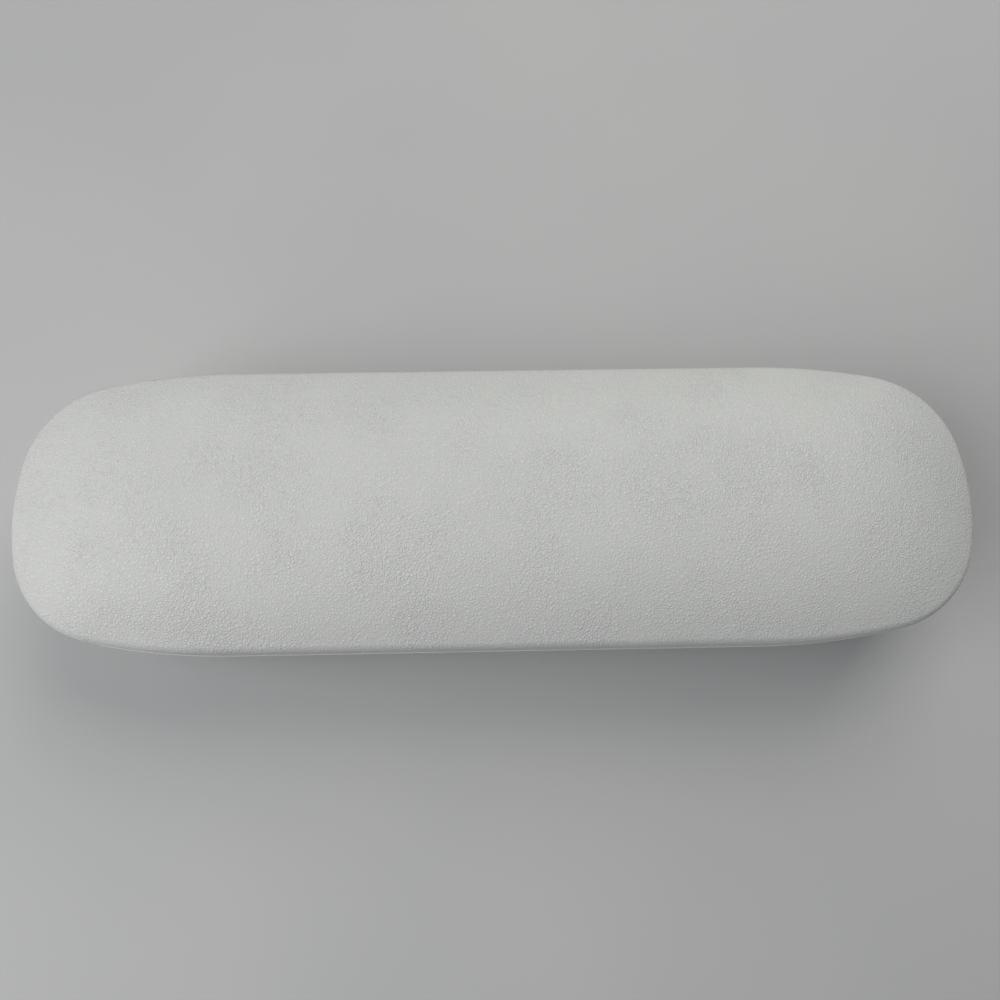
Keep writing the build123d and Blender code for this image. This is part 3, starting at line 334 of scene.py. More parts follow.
# %% Cloth and circuit board
def make_cloth():
    material, shader, place = start_material("foam", 0.95, colour=(0.16, 0.165, 0.17))
    shader.inputs["Sheen Weight"].default_value = 0.25
    fibre = noise(place, 0.12, detail=3.0, roughness=0.7)
    waves = {"Vector": place, "Scale": 1.6, "Distortion": 0.8, "Detail": 1.0}
    weave = place.node("ShaderNodeTexWave", waves, output="Fac", wave_type="BANDS")
    pile = fibre * 0.8 + weave * 0.2
    feed(
        shader,
        Base_Color=pile.blend(rgba(0.10, 0.104, 0.108), rgba(0.20, 0.205, 0.21)),
        Roughness=fibre * 0.06 + 0.9,
        Normal=bump(pile, 0.06),
    )
    return material


def make_board():
    material, shader, place = start_material("board_laminate", 0.35, colour=(0.02, 0.12, 0.06))
    track = cell_edges(place, 2.4).between(0.06, 0.10)
    feed(
        shader,
        Base_Color=track.blend(rgba(0.03, 0.19, 0.09), rgba(0.015, 0.10, 0.05)),
        Roughness=track * 0.08 + 0.3,
        Normal=bump(track, 0.02),
    )
    return material


finish["foam"] = make_cloth()
finish["board_laminate"] = make_board()
print(len(finish), "finishes")

# %% [markdown]
# ## The outline
#
# Seen from above, the case has straight sides, wide shoulder arcs, tighter corners and
# gently bowed ends, and each arc is tangent to the next. One function gives every point
# of that line with its outward direction. Anything drawn in from the edge, such as a
# wall's inner face, is the same points moved back along their directions.

# %% Outline
LENGTH = 240.0
WIDTH = 71.6
CAP_LENGTH = 53.5
SHOULDER_RADIUS = 165.0
CORNER_RADIUS = 26.0
END_RADIUS = 60.5
HALF_STRAIGHT = LENGTH / 2 - CAP_LENGTH


def corner_centre():
    """Centre of the corner arc, which touches the shoulder arc and the end arc."""
    shoulder = np.array((HALF_STRAIGHT, WIDTH / 2 - SHOULDER_RADIUS))
    end = np.array((LENGTH / 2 - END_RADIUS, 0.0))
    to_shoulder = SHOULDER_RADIUS - CORNER_RADIUS
    to_end = END_RADIUS - CORNER_RADIUS
    line = end - shoulder
    gap = np.linalg.norm(line)
    along = (to_shoulder**2 - to_end**2 + gap**2) / (2 * gap)
    across = math.sqrt(to_shoulder**2 - along**2)
    unit = line / gap
    return shoulder + unit * along + np.array((unit[1], -unit[0])) * across


def arc(centre, radius, start, stop, count):
    """Points and directions along an arc, without its last point."""
    angle = np.linspace(start, stop, count, endpoint=False)
    way = np.stack((np.cos(angle), np.sin(angle)), axis=1)
    return centre + radius * way, way


# %% The whole outline
def make_outline(straight=26, shoulder=14, corner=22, end=9):
    """Closed outline: its points and outward directions, from four mirrored quarters."""
    shoulder_centre = np.array((HALF_STRAIGHT, WIDTH / 2 - SHOULDER_RADIUS))
    end_centre = np.array((LENGTH / 2 - END_RADIUS, 0.0))
    middle = corner_centre()
    steep = math.atan2(*(middle - shoulder_centre)[::-1])
    blunt = math.atan2(*(middle - end_centre)[::-1])
    x = np.linspace(0, HALF_STRAIGHT, straight, endpoint=False)
    side = np.stack((x, np.full(straight, WIDTH / 2)), axis=1)
    parts = [
        (side, np.tile((0.0, 1.0), (straight, 1))),
        arc(shoulder_centre, SHOULDER_RADIUS, math.pi / 2, steep, shoulder),
        arc(middle, CORNER_RADIUS, steep, blunt, corner),
        arc(end_centre, END_RADIUS, blunt, 0.0, end),
    ]
    point = np.vstack([part[0] for part in parts])
    way = np.vstack([part[1] for part in parts])
    tip, forth = np.array([[LENGTH / 2, 0.0]]), np.array([[1.0, 0.0]])
    half = np.vstack((point, tip, (point * (1, -1))[:0:-1]))
    half_way = np.vstack((way, forth, (way * (1, -1))[:0:-1]))
    low = point[0] * (1, -1)
    loop = np.vstack((half, [low], (half * (-1, 1))[:0:-1]))
    loop_way = np.vstack((half_way, [[0.0, -1.0]], (half_way * (-1, 1))[:0:-1]))
    return loop, loop_way


edge_line, edge_way = make_outline()
print(len(edge_line), "points round the case")


# %% [markdown]
# ## The crown
#
# The lid is a shallow dome on a level edge. Its contour lines are the outline drawn in
# towards a line along the middle, and its height falls slowly near that line and faster
# towards the edge. To find the height over a point, the function looks for the contour
# that passes through it, by halving an interval until it is narrow enough. An inset gives
# the same dome a wall's thickness lower, for inner faces.

# %% Crown
CROWN_Z = 44.76
CROWN_FALL = 7.7
CROWN_POWER = 2.5
SPINE_SHARE = 0.65
EDGE_ROLL = 3.0
OUTSIDE = -0.3


def reach_of(inset):
    """The drawn-in outline as seen from the middle: its angles and how far out it is."""
    line = edge_line - edge_way * inset
    angle = np.unwrap(np.arctan2(line[:, 1], line[:, 0]))
    order = np.argsort(angle)
    return angle[order], np.hypot(line[:, 0], line[:, 1])[order]


foot_angle, foot_reach = reach_of(EDGE_ROLL)


def contour(x, y):
    """How far in the contour through x and y lies: 0 at the dome's edge, 1 at its spine."""
    low, high = np.full(np.shape(x), OUTSIDE), np.full(np.shape(x), 1.0)
    for _ in range(40):
        share = (low + high) / 2
        wide = x / (1 - share * (1 - SPINE_SHARE))
        deep = y / (1 - share)
        angle = np.arctan2(deep, wide)
        edge = np.interp(angle, foot_angle, foot_reach, period=2 * math.pi)
        inside = np.hypot(wide, deep) < edge
        low, high = np.where(inside, share, low), np.where(inside, high, share)
    return low


def crown(x, y, inset=0.0):
    """Height of the lid's crown over x and y, in millimetres."""
    x, y = np.asarray(x, float), np.asarray(y, float)
    height = CROWN_Z - CROWN_FALL * (1 - contour(x, y)) ** CROWN_POWER
    if inset:
        step = 0.01
        along = (crown(x + step, y) - crown(x - step, y)) / (2 * step)
        across = (crown(x, y + step) - crown(x, y - step)) / (2 * step)
        height = height - inset * np.sqrt(1 + along**2 + across**2)
    return height


print("crown", CROWN_Z, "mm high, at its edge", round(float(crown(0, WIDTH / 2 - EDGE_ROLL)), 1))

# %% [markdown]
# ## Sheets made of rings
#
# Both covers are closed skins that follow the outline, so each is a stack of rings, one
# inside or above the next, joined by quads. The first and last rings shrink to a line
# along the middle, where the two sides meet and are merged. Rings give even quads that
# run with the form, and smooth shading over them shows no facets.


# %% Ring builder
def ring(inset, z):
    """Ring of the outline, drawn in by inset, at height z or at one height per point."""
    flat = edge_line - edge_way * np.reshape(inset, (-1, 1))
    return np.column_stack((flat, np.broadcast_to(z, len(flat))))


def to_spine(start, height, count):
    """Rings from start to a line along the middle; height gives z over x and y."""
    rings = []
    for share in np.linspace(0, 1, count + 1)[1:]:
        flat = start[:, :2] * (1 - share) + start[:, :2] * (SPINE_SHARE, 0.0) * share
        rings.append(np.column_stack((flat, height(flat[:, 0], flat[:, 1]))))
    return rings


def rounded(centre, radius, start, stop, count):
    """Rings along an arc in the wall's section; centre is its inset and height."""
    rings = []
    for angle in np.linspace(start, stop, count + 1):
        inset = centre[0] + radius * np.cos(angle)
        rings.append(ring(inset, centre[1] + radius * np.sin(angle)))
    return rings


def skin(name, rings):
    """Closed smooth mesh through the rings, in metres."""
    count = len(rings[0])
    mesh = bpy.data.meshes.new(name)
    corners = np.vstack(rings) * MM
    faces = [
        (a * count + i, a * count + (i + 1) % count, (a + 1) * count + (i + 1) % count,
         (a + 1) * count + i)
        for a in range(len(rings) - 1)
        for i in range(count)
    ]
    mesh.from_pydata(corners.tolist(), [], faces)
    tidy_mesh(mesh)
    piece = bpy.data.objects.new(name, mesh)
    bpy.context.collection.objects.link(piece)
    return piece


def tidy_mesh(mesh, merge=1e-6, recalculate=True):
    """Merge doubles, drop faces with no area and make every face point outwards."""
    work = bmesh.new()
    work.from_mesh(mesh)
    bmesh.ops.remove_doubles(work, verts=work.verts, dist=merge)
    bmesh.ops.dissolve_degenerate(work, edges=work.edges, dist=merge)
    if recalculate:
        bmesh.ops.recalc_face_normals(work, faces=work.faces)
    work.to_mesh(mesh)
    work.free()
    mesh.polygons.foreach_set("use_smooth", [True] * len(mesh.polygons))
    mesh.update()


print("each ring has", len(ring(0.0, 0.0)), "points")

# %% [markdown]
# ## Cutting and finishing a piece
#
# A cut-out, such as the room for a hinge, is taken out by a Boolean modifier with an
# exact solver. The result is read from the evaluated object and kept as a plain mesh, so
# no modifier is left. Edges sharper than the given angle stay crisp, and the rest shade
# smoothly. Then the piece gets its finish, its body and the solids that it stands for.

# %% Cutting
def block(low, high):
    """Plain box between two corners in millimetres, used only as a cutting tool."""
    mesh = bpy.data.meshes.new("tool")
    work = bmesh.new()
    bmesh.ops.create_cube(work, size=1.0)
    size = [b - a for a, b in zip(low, high)]
    middle = [(a + b) / 2 for a, b in zip(low, high)]
    bmesh.ops.scale(work, vec=Vector(size) * MM, verts=work.verts)
    bmesh.ops.translate(work, vec=Vector(middle) * MM, verts=work.verts)
    work.to_mesh(mesh)
    work.free()
    tool = bpy.data.objects.new("tool", mesh)
    bpy.context.collection.objects.link(tool)
    return tool


def bake_modifiers(piece):
    """Replace the piece's mesh by its evaluated one and drop its modifiers."""
    bpy.context.view_layer.update()
    graph = bpy.context.evaluated_depsgraph_get()
    mesh = bpy.data.meshes.new_from_object(piece.evaluated_get(graph))
    piece.modifiers.clear()
    piece.data = mesh
    return piece


def cut(piece, tools):
    """Take the tools out of the piece."""
    for tool in tools:
        step = piece.modifiers.new("cut", "BOOLEAN")
        step.operation = "DIFFERENCE"
        step.solver = "EXACT"
        step.object = tool
    bake_modifiers(piece)
    for tool in tools:
        bpy.data.objects.remove(tool)
    return piece


# %% Finish, body and the nodes that a piece stands for
SHARP = math.radians(32)


def settle(piece, body, slot, *stands_for, sharp=SHARP):
    """Give a piece its finish, its shading, its body and the nodes that it replaces."""
    piece.data.materials.clear()
    piece.data.materials.append(finish[slot])
    piece.data.polygons.foreach_set("use_smooth", [True] * len(piece.data.polygons))
    piece.data.set_sharp_from_angle(angle=sharp)
    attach(piece, body)
    if stands_for:
        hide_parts(*stands_for)
    print(piece.name, "on", body, "with", len(piece.data.polygons), "faces")
    return piece


# %% [markdown]
# ## Lid cover
#
# The skin starts at the crown, rolls over a 3 mm edge, runs down the wall, turns under
# the lid's edge and folds up inside it. The roll touches both the upright wall and the
# sloping crown, and the crown's slope differs along the outline, so the roll's centre and
# its last angle are worked out at every point. The back edge is rounded so that the lid
# can swing back past the base.

# %% Sizes and rings of the lid's wall
LID_EDGE = 26.3
COVER = 0.9
GLUE = 0.1
LID_WALL = 1.8
FIT = 0.1
LIP_ROUND = 0.35
TURN_IN = 4.0
EDGE_RELIEF = 2.5
FOLD_OUT = COVER + GLUE + LID_WALL + FIT


def roll_rings(inset, radius, count=12):
    """Rings from the wall over the roll to the crown, for a face at inset."""
    def height(step):
        flat = edge_line - edge_way * (inset + radius + step)
        return crown(flat[:, 0], flat[:, 1], inset)

    slope = height(0.5) - height(-0.5)
    centre = height(0.0) - radius * np.sqrt(1 + slope**2)
    last = math.pi / 2 - np.arctan(slope)
    rings = []
    for share in np.linspace(0, 1, count + 1):
        angle = last * share
        rings.append(
            ring(inset + radius - radius * np.cos(angle), centre + radius * np.sin(angle))
        )
    return rings


def ease_back(rings, edge_z, up, radius):
    """Round the back edge at edge_z: no point stands outside the relief's arc."""
    centre_y = WIDTH / 2 - EDGE_RELIEF
    for points in rings:
        depth = np.clip(EDGE_RELIEF - (points[:, 2] - edge_z) * up, 0, radius)
        limit = centre_y + np.sqrt(radius**2 - depth**2)
        points[:, 1] = np.minimum(points[:, 1], limit)
    return rings


def wall_rings(inset, low, top, count):
    """Rings up a wall from low to the ring top, without that ring."""
    rings = []
    for share in np.linspace(0, 1, count, endpoint=False):
        rings.append(ring(inset, low + (top[:, 2] - low) * share))
    return rings


# %% Lid cover
def make_lid_cover():
    outer_roll = roll_rings(0.0, EDGE_ROLL)
    inner_roll = roll_rings(COVER, EDGE_ROLL - COVER)
    outer = to_spine(outer_roll[-1], crown, 14)[::-1] + outer_roll[::-1]
    outer += wall_rings(0.0, LID_EDGE + LIP_ROUND, outer_roll[0], 8)[::-1]
    quarter = math.pi / 2
    outer += rounded((LIP_ROUND, LID_EDGE + LIP_ROUND), LIP_ROUND, 2 * quarter, 3 * quarter, 4)
    outer += [ring(inset, LID_EDGE) for inset in (0.8, 1.3, 1.9, 2.5, 3.0)]
    ease_back(outer, LID_EDGE, 1, EDGE_RELIEF)
    fold_in = FOLD_OUT + COVER
    fold_top = LID_EDGE + COVER / 2 + TURN_IN
    fold = rounded((fold_in - 0.3, LID_EDGE + 0.3), 0.3, -quarter, 0, 3)
    fold += rounded((fold_in - 0.4, fold_top - 0.4), 0.4, 0, quarter, 4)
    fold += [ring(FOLD_OUT, fold_top), ring(FOLD_OUT, LID_EDGE + COVER)]
    inner = [ring(inset, LID_EDGE + COVER) for inset in (2.4, 1.9, 1.4, COVER)]
    inner += wall_rings(COVER, LID_EDGE + COVER, inner_roll[0], 8)[1:] + inner_roll
    inner += to_spine(inner_roll[-1], lambda x, y: crown(x, y, COVER), 14)
    ease_back(inner, LID_EDGE, 1, EDGE_RELIEF - COVER)
    return skin("lid_cover_skin", outer + fold + inner)


lid_cover = make_lid_cover()
print("lid cover", [round(v / MM, 1) for v in lid_cover.dimensions])

# %% [markdown]
# ## Lid shell
#
# Under the skin is the hard moulding that gives the lid its shape. It is the same dome a
# skin and a film of glue further in, 1.8 mm thick, and it stands in the fold of the skin.

# %% Lid shell
SHELL_TOP = COVER + GLUE
SHELL_INSIDE = SHELL_TOP + LID_WALL
INNER_ROLL = 2.0


def make_lid_shell():
    edge = LID_EDGE + COVER + GLUE
    outer_roll = roll_rings(SHELL_TOP, EDGE_ROLL - SHELL_TOP)
    inner_roll = roll_rings(SHELL_INSIDE, INNER_ROLL)
    top = to_spine(outer_roll[-1], lambda x, y: crown(x, y, SHELL_TOP), 14)
    rings = top[::-1] + outer_roll[::-1]
    rings += wall_rings(SHELL_TOP, edge, outer_roll[0], 6)[::-1]
    rings += wall_rings(SHELL_INSIDE, edge, inner_roll[0], 6) + inner_roll
    rings += to_spine(inner_roll[-1], lambda x, y: crown(x, y, SHELL_INSIDE), 14)
    return skin("lid_shell_moulding", rings)


lid_shell = make_lid_shell()
print("lid shell", [round(v / MM, 1) for v in lid_shell.dimensions])

# %% [markdown]
# ## Base cover
#
# The base's sides lean in towards the floor and roll into it over a 10 mm radius. The
# wall's section is a straight line, an arc tangent to it and the flat floor, and the same
# rings are made twice: once for the outside and once a skin's thickness further in.

# %% Base cover
RIM_Z = 24.8
SEAM_Z = 26.0
DRAFT = math.radians(8.0)
BOTTOM_RADIUS = 10.0


def hull_rings(inset, radius):
    """Rings from the rim down the leaning wall, round the bottom and across the floor."""
    floor = inset
    centre_z = floor + radius
    centre = (inset + (RIM_Z - centre_z) * math.tan(DRAFT) + radius / math.cos(DRAFT), centre_z)
    low_z = centre_z - radius * math.sin(DRAFT)
    rings = []
    for z in np.linspace(RIM_Z, low_z, 12, endpoint=False):
        rings.append(ring(inset + (RIM_Z - z) * math.tan(DRAFT), z))
    rings += rounded(centre, radius, math.pi + DRAFT, 1.5 * math.pi, 14)
    rings += to_spine(rings[-1], lambda x, y: np.full(len(x), floor), 8)
    return rings


def make_base_cover():
    outer = ease_back(hull_rings(0.0, BOTTOM_RADIUS), SEAM_Z, -1, EDGE_RELIEF)
    inner = ease_back(hull_rings(COVER, BOTTOM_RADIUS - COVER), SEAM_Z, -1, EDGE_RELIEF - COVER)
    return skin("base_cover_skin", outer[::-1] + inner)


base_cover = make_base_cover()
print("base cover", [round(v / MM, 1) for v in base_cover.dimensions])

# %% [markdown]
# ## Room for the hinges and the charging inlet
#
# The hinges sit in notches in both back walls, and the charging inlet has a hole. Their
# sizes come from the solids that fill them, so the skins and the solids agree.

# %% Cut-outs
NOTCH_CLEARANCE = 0.3
NOTCH_START = 28.0
INLET_START = 20.0
INLET_Z = 10.95
INLET_HEIGHT = 7.7
BEZEL_FLANGE = 1.0
LEAF_NOTCH = 6.0
PAST = 5.0
hinge_boxes = [
    [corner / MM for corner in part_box(f"base_hinge_leaf_{side}")] for side in ("left", "right")
]
lid_leaf_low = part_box("lid_hinge_leaf_left")[0] / MM
barrel_top = hinge_boxes[0][1].z
barrel_bottom = lid_leaf_low.z
notch_y = lid_leaf_low.y - NOTCH_CLEARANCE


def lid_notches():
    """Cutting blocks for the hinges in the lid: one for the barrels, one for the leaves."""
    tools = []
    for low, high in hinge_boxes:
        x0, x1 = low.x - NOTCH_CLEARANCE, high.x + NOTCH_CLEARANCE
        barrels = (x1, WIDTH, barrel_top + NOTCH_CLEARANCE)
        leaves = (x1, WIDTH / 2 - FOLD_OUT + FIT, LID_EDGE + LEAF_NOTCH)
        tools.append(block((x0, notch_y, LID_EDGE - 3), barrels))
        tools.append(block((x0, notch_y, LID_EDGE - 2), leaves))
    return tools


base_tools = [
    block(
        (low.x - NOTCH_CLEARANCE, NOTCH_START, barrel_bottom - NOTCH_CLEARANCE),
        (high.x + NOTCH_CLEARANCE, WIDTH, SEAM_Z + PAST),
    )
    for low, high in hinge_boxes
]
bezel_low, bezel_high = (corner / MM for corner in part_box("socket_bezel"))
half_inlet = INLET_HEIGHT / 2 + FIT
inlet_low = (bezel_low.x + BEZEL_FLANGE - FIT, INLET_START, INLET_Z - half_inlet)
inlet_high = (bezel_high.x - BEZEL_FLANGE + FIT, WIDTH, INLET_Z + half_inlet)
base_tools.append(block(inlet_low, inlet_high))
settle(cut(lid_cover, lid_notches()), "lid", "leatherette", "lid_cover")
settle(cut(lid_shell, lid_notches()), "lid", "shell_plastic", "lid_shell")
settle(cut(base_cover, base_tools), "base", "leatherette", "base_cover")

# %% [markdown]
# ## Geometry trees
#
# Screws, pins and cans repeat, and the coil's wire follows a rule, so Geometry Nodes make
# them. Each tree has a named input for every size, in millimetres. It is fed one loose
# point for each place, and ends by making its instances real and giving them a finish. Its
# result is kept as a plain mesh.

# %% Start, end and use of a tree
bodies_of = {
    name: body for body, names in frame["record"]["behaviour"]["bodies"].items() for name in names
}
slot_of = {entry["node"]: entry["material_slot"] for entry in frame["record"]["subparts"]}
print(len(slot_of), "nodes with a finish, on", sorted(set(bodies_of.values())))
SOCKETS = {float: "NodeSocketFloat", int: "NodeSocketInt", tuple: "NodeSocketVector"}


def start_tree(name, **sizes):
    """Geometry tree with a named input for each size; returns the inputs as fields."""
    tree = bpy.data.node_groups.new(name, "GeometryNodeTree")
    tree.interface.new_socket("points", in_out="INPUT", socket_type="NodeSocketGeometry")
    for label, value in sizes.items():
        kind = SOCKETS[type(value)]
        tree.interface.new_socket(label, in_out="INPUT", socket_type=kind).default_value = value
    tree.interface.new_socket("finish", in_out="INPUT", socket_type="NodeSocketMaterial")
    tree.interface.new_socket("mesh", in_out="OUTPUT", socket_type="NodeSocketGeometry")
    entry = tree.nodes.new("NodeGroupInput")
    return {socket.name: Field(tree, socket) for socket in entry.outputs if socket.name}


def end_tree(shape, given):
    """Put the shape on every point, turned to face the given way, and end the tree."""
    turn = shape.node("FunctionNodeAlignRotationToVector", {"Vector": given["facing"]}, axis="Z")
    places = {"Points": given["points"], "Instance": shape, "Rotation": turn, "Scale": (MM,) * 3}
    real = shape.node(
        "GeometryNodeRealizeInstances", {0: shape.node("GeometryNodeInstanceOnPoints", places)}
    )
    coated = real.node("GeometryNodeSetMaterial", {"Geometry": real, "Material": given["finish"]})
    shape.tree.links.new(coated.socket, shape.tree.nodes.new("NodeGroupOutput").inputs[0])
    return shape.tree


def grow(name, tree, points, **sizes):
    """Piece that the tree makes on the points, for the node of the same name."""
    mesh = bpy.data.meshes.new(name)
    mesh.from_pydata([Vector(point) * MM for point in points], [], [])
    piece = bpy.data.objects.new(f"{name}_made", mesh)
    bpy.context.collection.objects.link(piece)
    step = piece.modifiers.new("grow", "NODES")
    step.node_group = tree
    values = {**sizes, "finish": finish[slot_of[name]]}
    for item in tree.interface.items_tree:
        if item.in_out == "INPUT" and item.name in values:
            step[item.identifier] = values[item.name]
    bake_modifiers(piece)
    tidy_mesh(piece.data)
    return settle(piece, bodies_of[name], slot_of[name], name)


# %% [markdown]
# ## Screws
#
# A screw is a turned shape, so its tree bends a flat grid round an axis. One side of the
# grid becomes the angle, and the other runs from the middle of the head, over its dome and
# down the shank to the tip. The thread is a zigzag in the radius that climbs with the
# angle. A cross-shaped recess is cut into the head before the screw is put in its places.

# %% Turned shapes
def turn_grid(given, around, along):
    """Flat grid and its two fields: the angle round the axis and the share along it."""
    root = given["points"]
    sizes = {"Size X": 1.0, "Size Y": 1.0, "Vertices X": around + 1, "Vertices Y": along + 1}
    grid = root.node("GeometryNodeMeshGrid", sizes)
    spot = root.node("GeometryNodeInputPosition", {})
    across = spot.node("ShaderNodeSeparateXYZ", {"Vector": spot}, output="X")
    share = spot.node("ShaderNodeSeparateXYZ", {"Vector": spot}, output="Y") + 0.5
    return grid, across * (-2 * math.pi), share


def wrap(grid, angle, radius, height):
    """Bend the grid round the Z axis by its radius and height, and close it."""
    spot = angle.node(
        "ShaderNodeCombineXYZ",
        {"X": angle.math("COSINE") * radius, "Y": angle.math("SINE") * radius, "Z": height},
    )
    bent = grid.node("GeometryNodeSetPosition", {"Geometry": grid, "Position": spot})
    return bent.node("GeometryNodeMergeByDistance", {"Geometry": bent, "Distance": 0.001})


# %% Screw tree
DOME_ENDS, SIDE_ENDS, UNDER_ENDS, SHANK_ENDS = 0.14, 0.17, 0.22, 0.95
HEAD_EDGE = 0.35
THREAD_DEPTH = 0.16
TIP_LENGTH = 0.7
RECESS_WIDTH = 0.26
RECESS_REACH = 1.3
RECESS_DEPTH = 0.5


def make_screw_tree():
    given = start_tree(
        "screw",
        head_radius=1.9,
        head_height=0.8,
        shank_radius=1.0,
        shank_length=4.0,
        pitch=0.6,
        facing=(0.0, 0.0, 1.0),
    )
    grid, angle, share = turn_grid(given, around=28, along=88)
    dome = share.ramp(0.0, DOME_ENDS) * (math.pi / 2)
    side, under = share.ramp(DOME_ENDS, SIDE_ENDS), share.ramp(SIDE_ENDS, UNDER_ENDS)
    shank, tip = share.ramp(UNDER_ENDS, SHANK_ENDS), share.ramp(SHANK_ENDS, 1.0)
    tip_length = given["shank_radius"] * TIP_LENGTH
    height = given["head_height"] * (dome.math("COSINE") * (1 - HEAD_EDGE) + HEAD_EDGE)
    height = height - given["head_height"] * side * HEAD_EDGE
    height = height - (given["shank_length"] - tip_length) * shank - tip_length * tip
    climb = height / given["pitch"] + angle / (2 * math.pi)
    cut_in = share.ramp(0.24, 0.30) * (1 - share.ramp(0.90, SHANK_ENDS))
    groove = climb.math("PINGPONG", 0.5) * cut_in * (2 * THREAD_DEPTH)
    radius = given["head_radius"] * dome.math("SINE")
    radius = radius - (given["head_radius"] - given["shank_radius"]) * under
    radius = radius - given["shank_radius"] * (tip + groove)
    body = wrap(grid, angle, radius, height)
    lift = body.node("ShaderNodeCombineXYZ", {"Z": given["head_height"]})
    recess = body.node("GeometryNodeMeshBoolean", {"Mesh 1": body}, operation="DIFFERENCE")
    reach, width = given["head_radius"] * RECESS_REACH, given["head_radius"] * RECESS_WIDTH
    depth = given["head_height"] * (2 * RECESS_DEPTH)
    for sides in ({"X": reach, "Y": width, "Z": depth}, {"X": width, "Y": reach, "Z": depth}):
        bar = body.node("GeometryNodeMeshCube", {0: body.node("ShaderNodeCombineXYZ", sides)})
        arm = bar.node("GeometryNodeTransform", {"Geometry": bar, "Translation": lift})
        body.tree.links.new(arm.socket, recess.socket.node.inputs["Mesh 2"])
    return end_tree(recess, given)


screw_tree = make_screw_tree()
print("screw tree with", len(screw_tree.nodes), "nodes")

# %% [markdown]
# Each group of screws names the seats of its heads and the sizes that differ from the
# tree's own. The screws of the base's hinges face along the leaning wall.

# %% Screws in their places
TRAY_SEATS = [(59.4, 14.5, 11.8), (-7.8, 14.5, 11.8), (31.6, -14.0, 5.412), (-60.4, -14.0, 4.338)]
BOARD_SEATS = [(-99.6, -14.0, 9.0), (-60.2, 5.7, 9.0), (-95.0, 20.0, 9.0)]
LEAF_X = (-47.0, -33.0, 33.0, 47.0)
BASE_LEAF_SEAT = (31.01, 19.951)
LID_LEAF_SEAT = (31.9, 29.8)
leaf_screw = {"head_radius": 1.25, "shank_radius": 0.7, "shank_length": 2.4, "pitch": 0.45}
base_way = (0.0, -math.cos(DRAFT), math.sin(DRAFT))
grow("tray_screws", screw_tree, TRAY_SEATS, shank_length=2.6)
board_screw = {"head_radius": 1.8, "head_height": 0.9, "shank_length": 5.6}
grow("board_screws", screw_tree, BOARD_SEATS, **board_screw)
seats = [(x, *BASE_LEAF_SEAT) for x in LEAF_X]
grow("base_hinge_screws", screw_tree, seats, facing=base_way, **leaf_screw)
seats = [(x, *LID_LEAF_SEAT) for x in LEAF_X]
grow("lid_hinge_screws", screw_tree, seats, facing=(0.0, -1.0, 0.0), **leaf_screw)

# %% [markdown]
# ## Pins and capacitors
#
# The bobbin's pins and the two capacitor cans are turned shapes as well, without a thread.
# A pin is a wire with both ends rounded. A can has a rounded shoulder, a crimped groove
# near its foot and a shallow dish in its top.

# %% Pin and can trees
CAN_SHOULDER = 0.3
CAN_CRIMP = 0.14
CAN_DISH = 0.12


def make_pin_tree():
    given = start_tree("pin", radius=0.35, length=3.2, facing=(0.0, 0.0, 1.0))
    grid, angle, share = turn_grid(given, around=16, along=24)
    start, stop = share.ramp(0.0, 0.25) * (math.pi / 2), share.ramp(0.75, 1.0) * (math.pi / 2)
    radius = given["radius"] * start.math("SINE") * stop.math("COSINE")
    ends = given["radius"] * (1 - start.math("COSINE") + stop.math("SINE"))
    shaft = (given["length"] - given["radius"] * 2) * share.ramp(0.25, 0.75)
    return end_tree(wrap(grid, angle, radius, (ends + shaft) * -1.0), given)


def make_can_tree():
    given = start_tree("can", radius=1.6, length=3.0, facing=(0.0, 0.0, 1.0))
    grid, angle, share = turn_grid(given, around=40, along=60)
    top, roll = share.ramp(0.0, 0.2), share.ramp(0.2, 0.35) * (math.pi / 2)
    wall, foot = share.ramp(0.35, 0.9), share.ramp(0.9, 1.0)
    crimp = wall.between(0.62, 0.72) * (1 - wall.between(0.78, 0.88))
    dish = (1 - top.between(0.65, 0.85)) * CAN_DISH
    radius = (given["radius"] - CAN_SHOULDER) * top + roll.math("SINE") * CAN_SHOULDER
    radius = radius - crimp * CAN_CRIMP - given["radius"] * foot
    height = (1 - roll.math("COSINE")) * CAN_SHOULDER + dish
    height = height + (given["length"] - CAN_SHOULDER) * wall
    return end_tree(wrap(grid, angle, radius, height * -1.0), given)


pin_tree, can_tree = make_pin_tree(), make_can_tree()
grow("bobbin_pins", pin_tree, [(-94.3, -17.0, 9.8), (-94.3, -11.0, 9.8)])
grow("capacitors", can_tree, [(-69.0, 12.75, 12.0), (-69.0, 17.75, 12.0)])

# %% [markdown]
# ## Charging coil
#
# The coil is one enamelled wire wound to and fro in layers. Its tree lays points along the
# wire and places each from its number: the angle grows steadily, the place along the axis
# runs back and forth, and the radius steps up by one wire at the end of each layer.

# %% Coil tree
POINTS_PER_TURN = 24


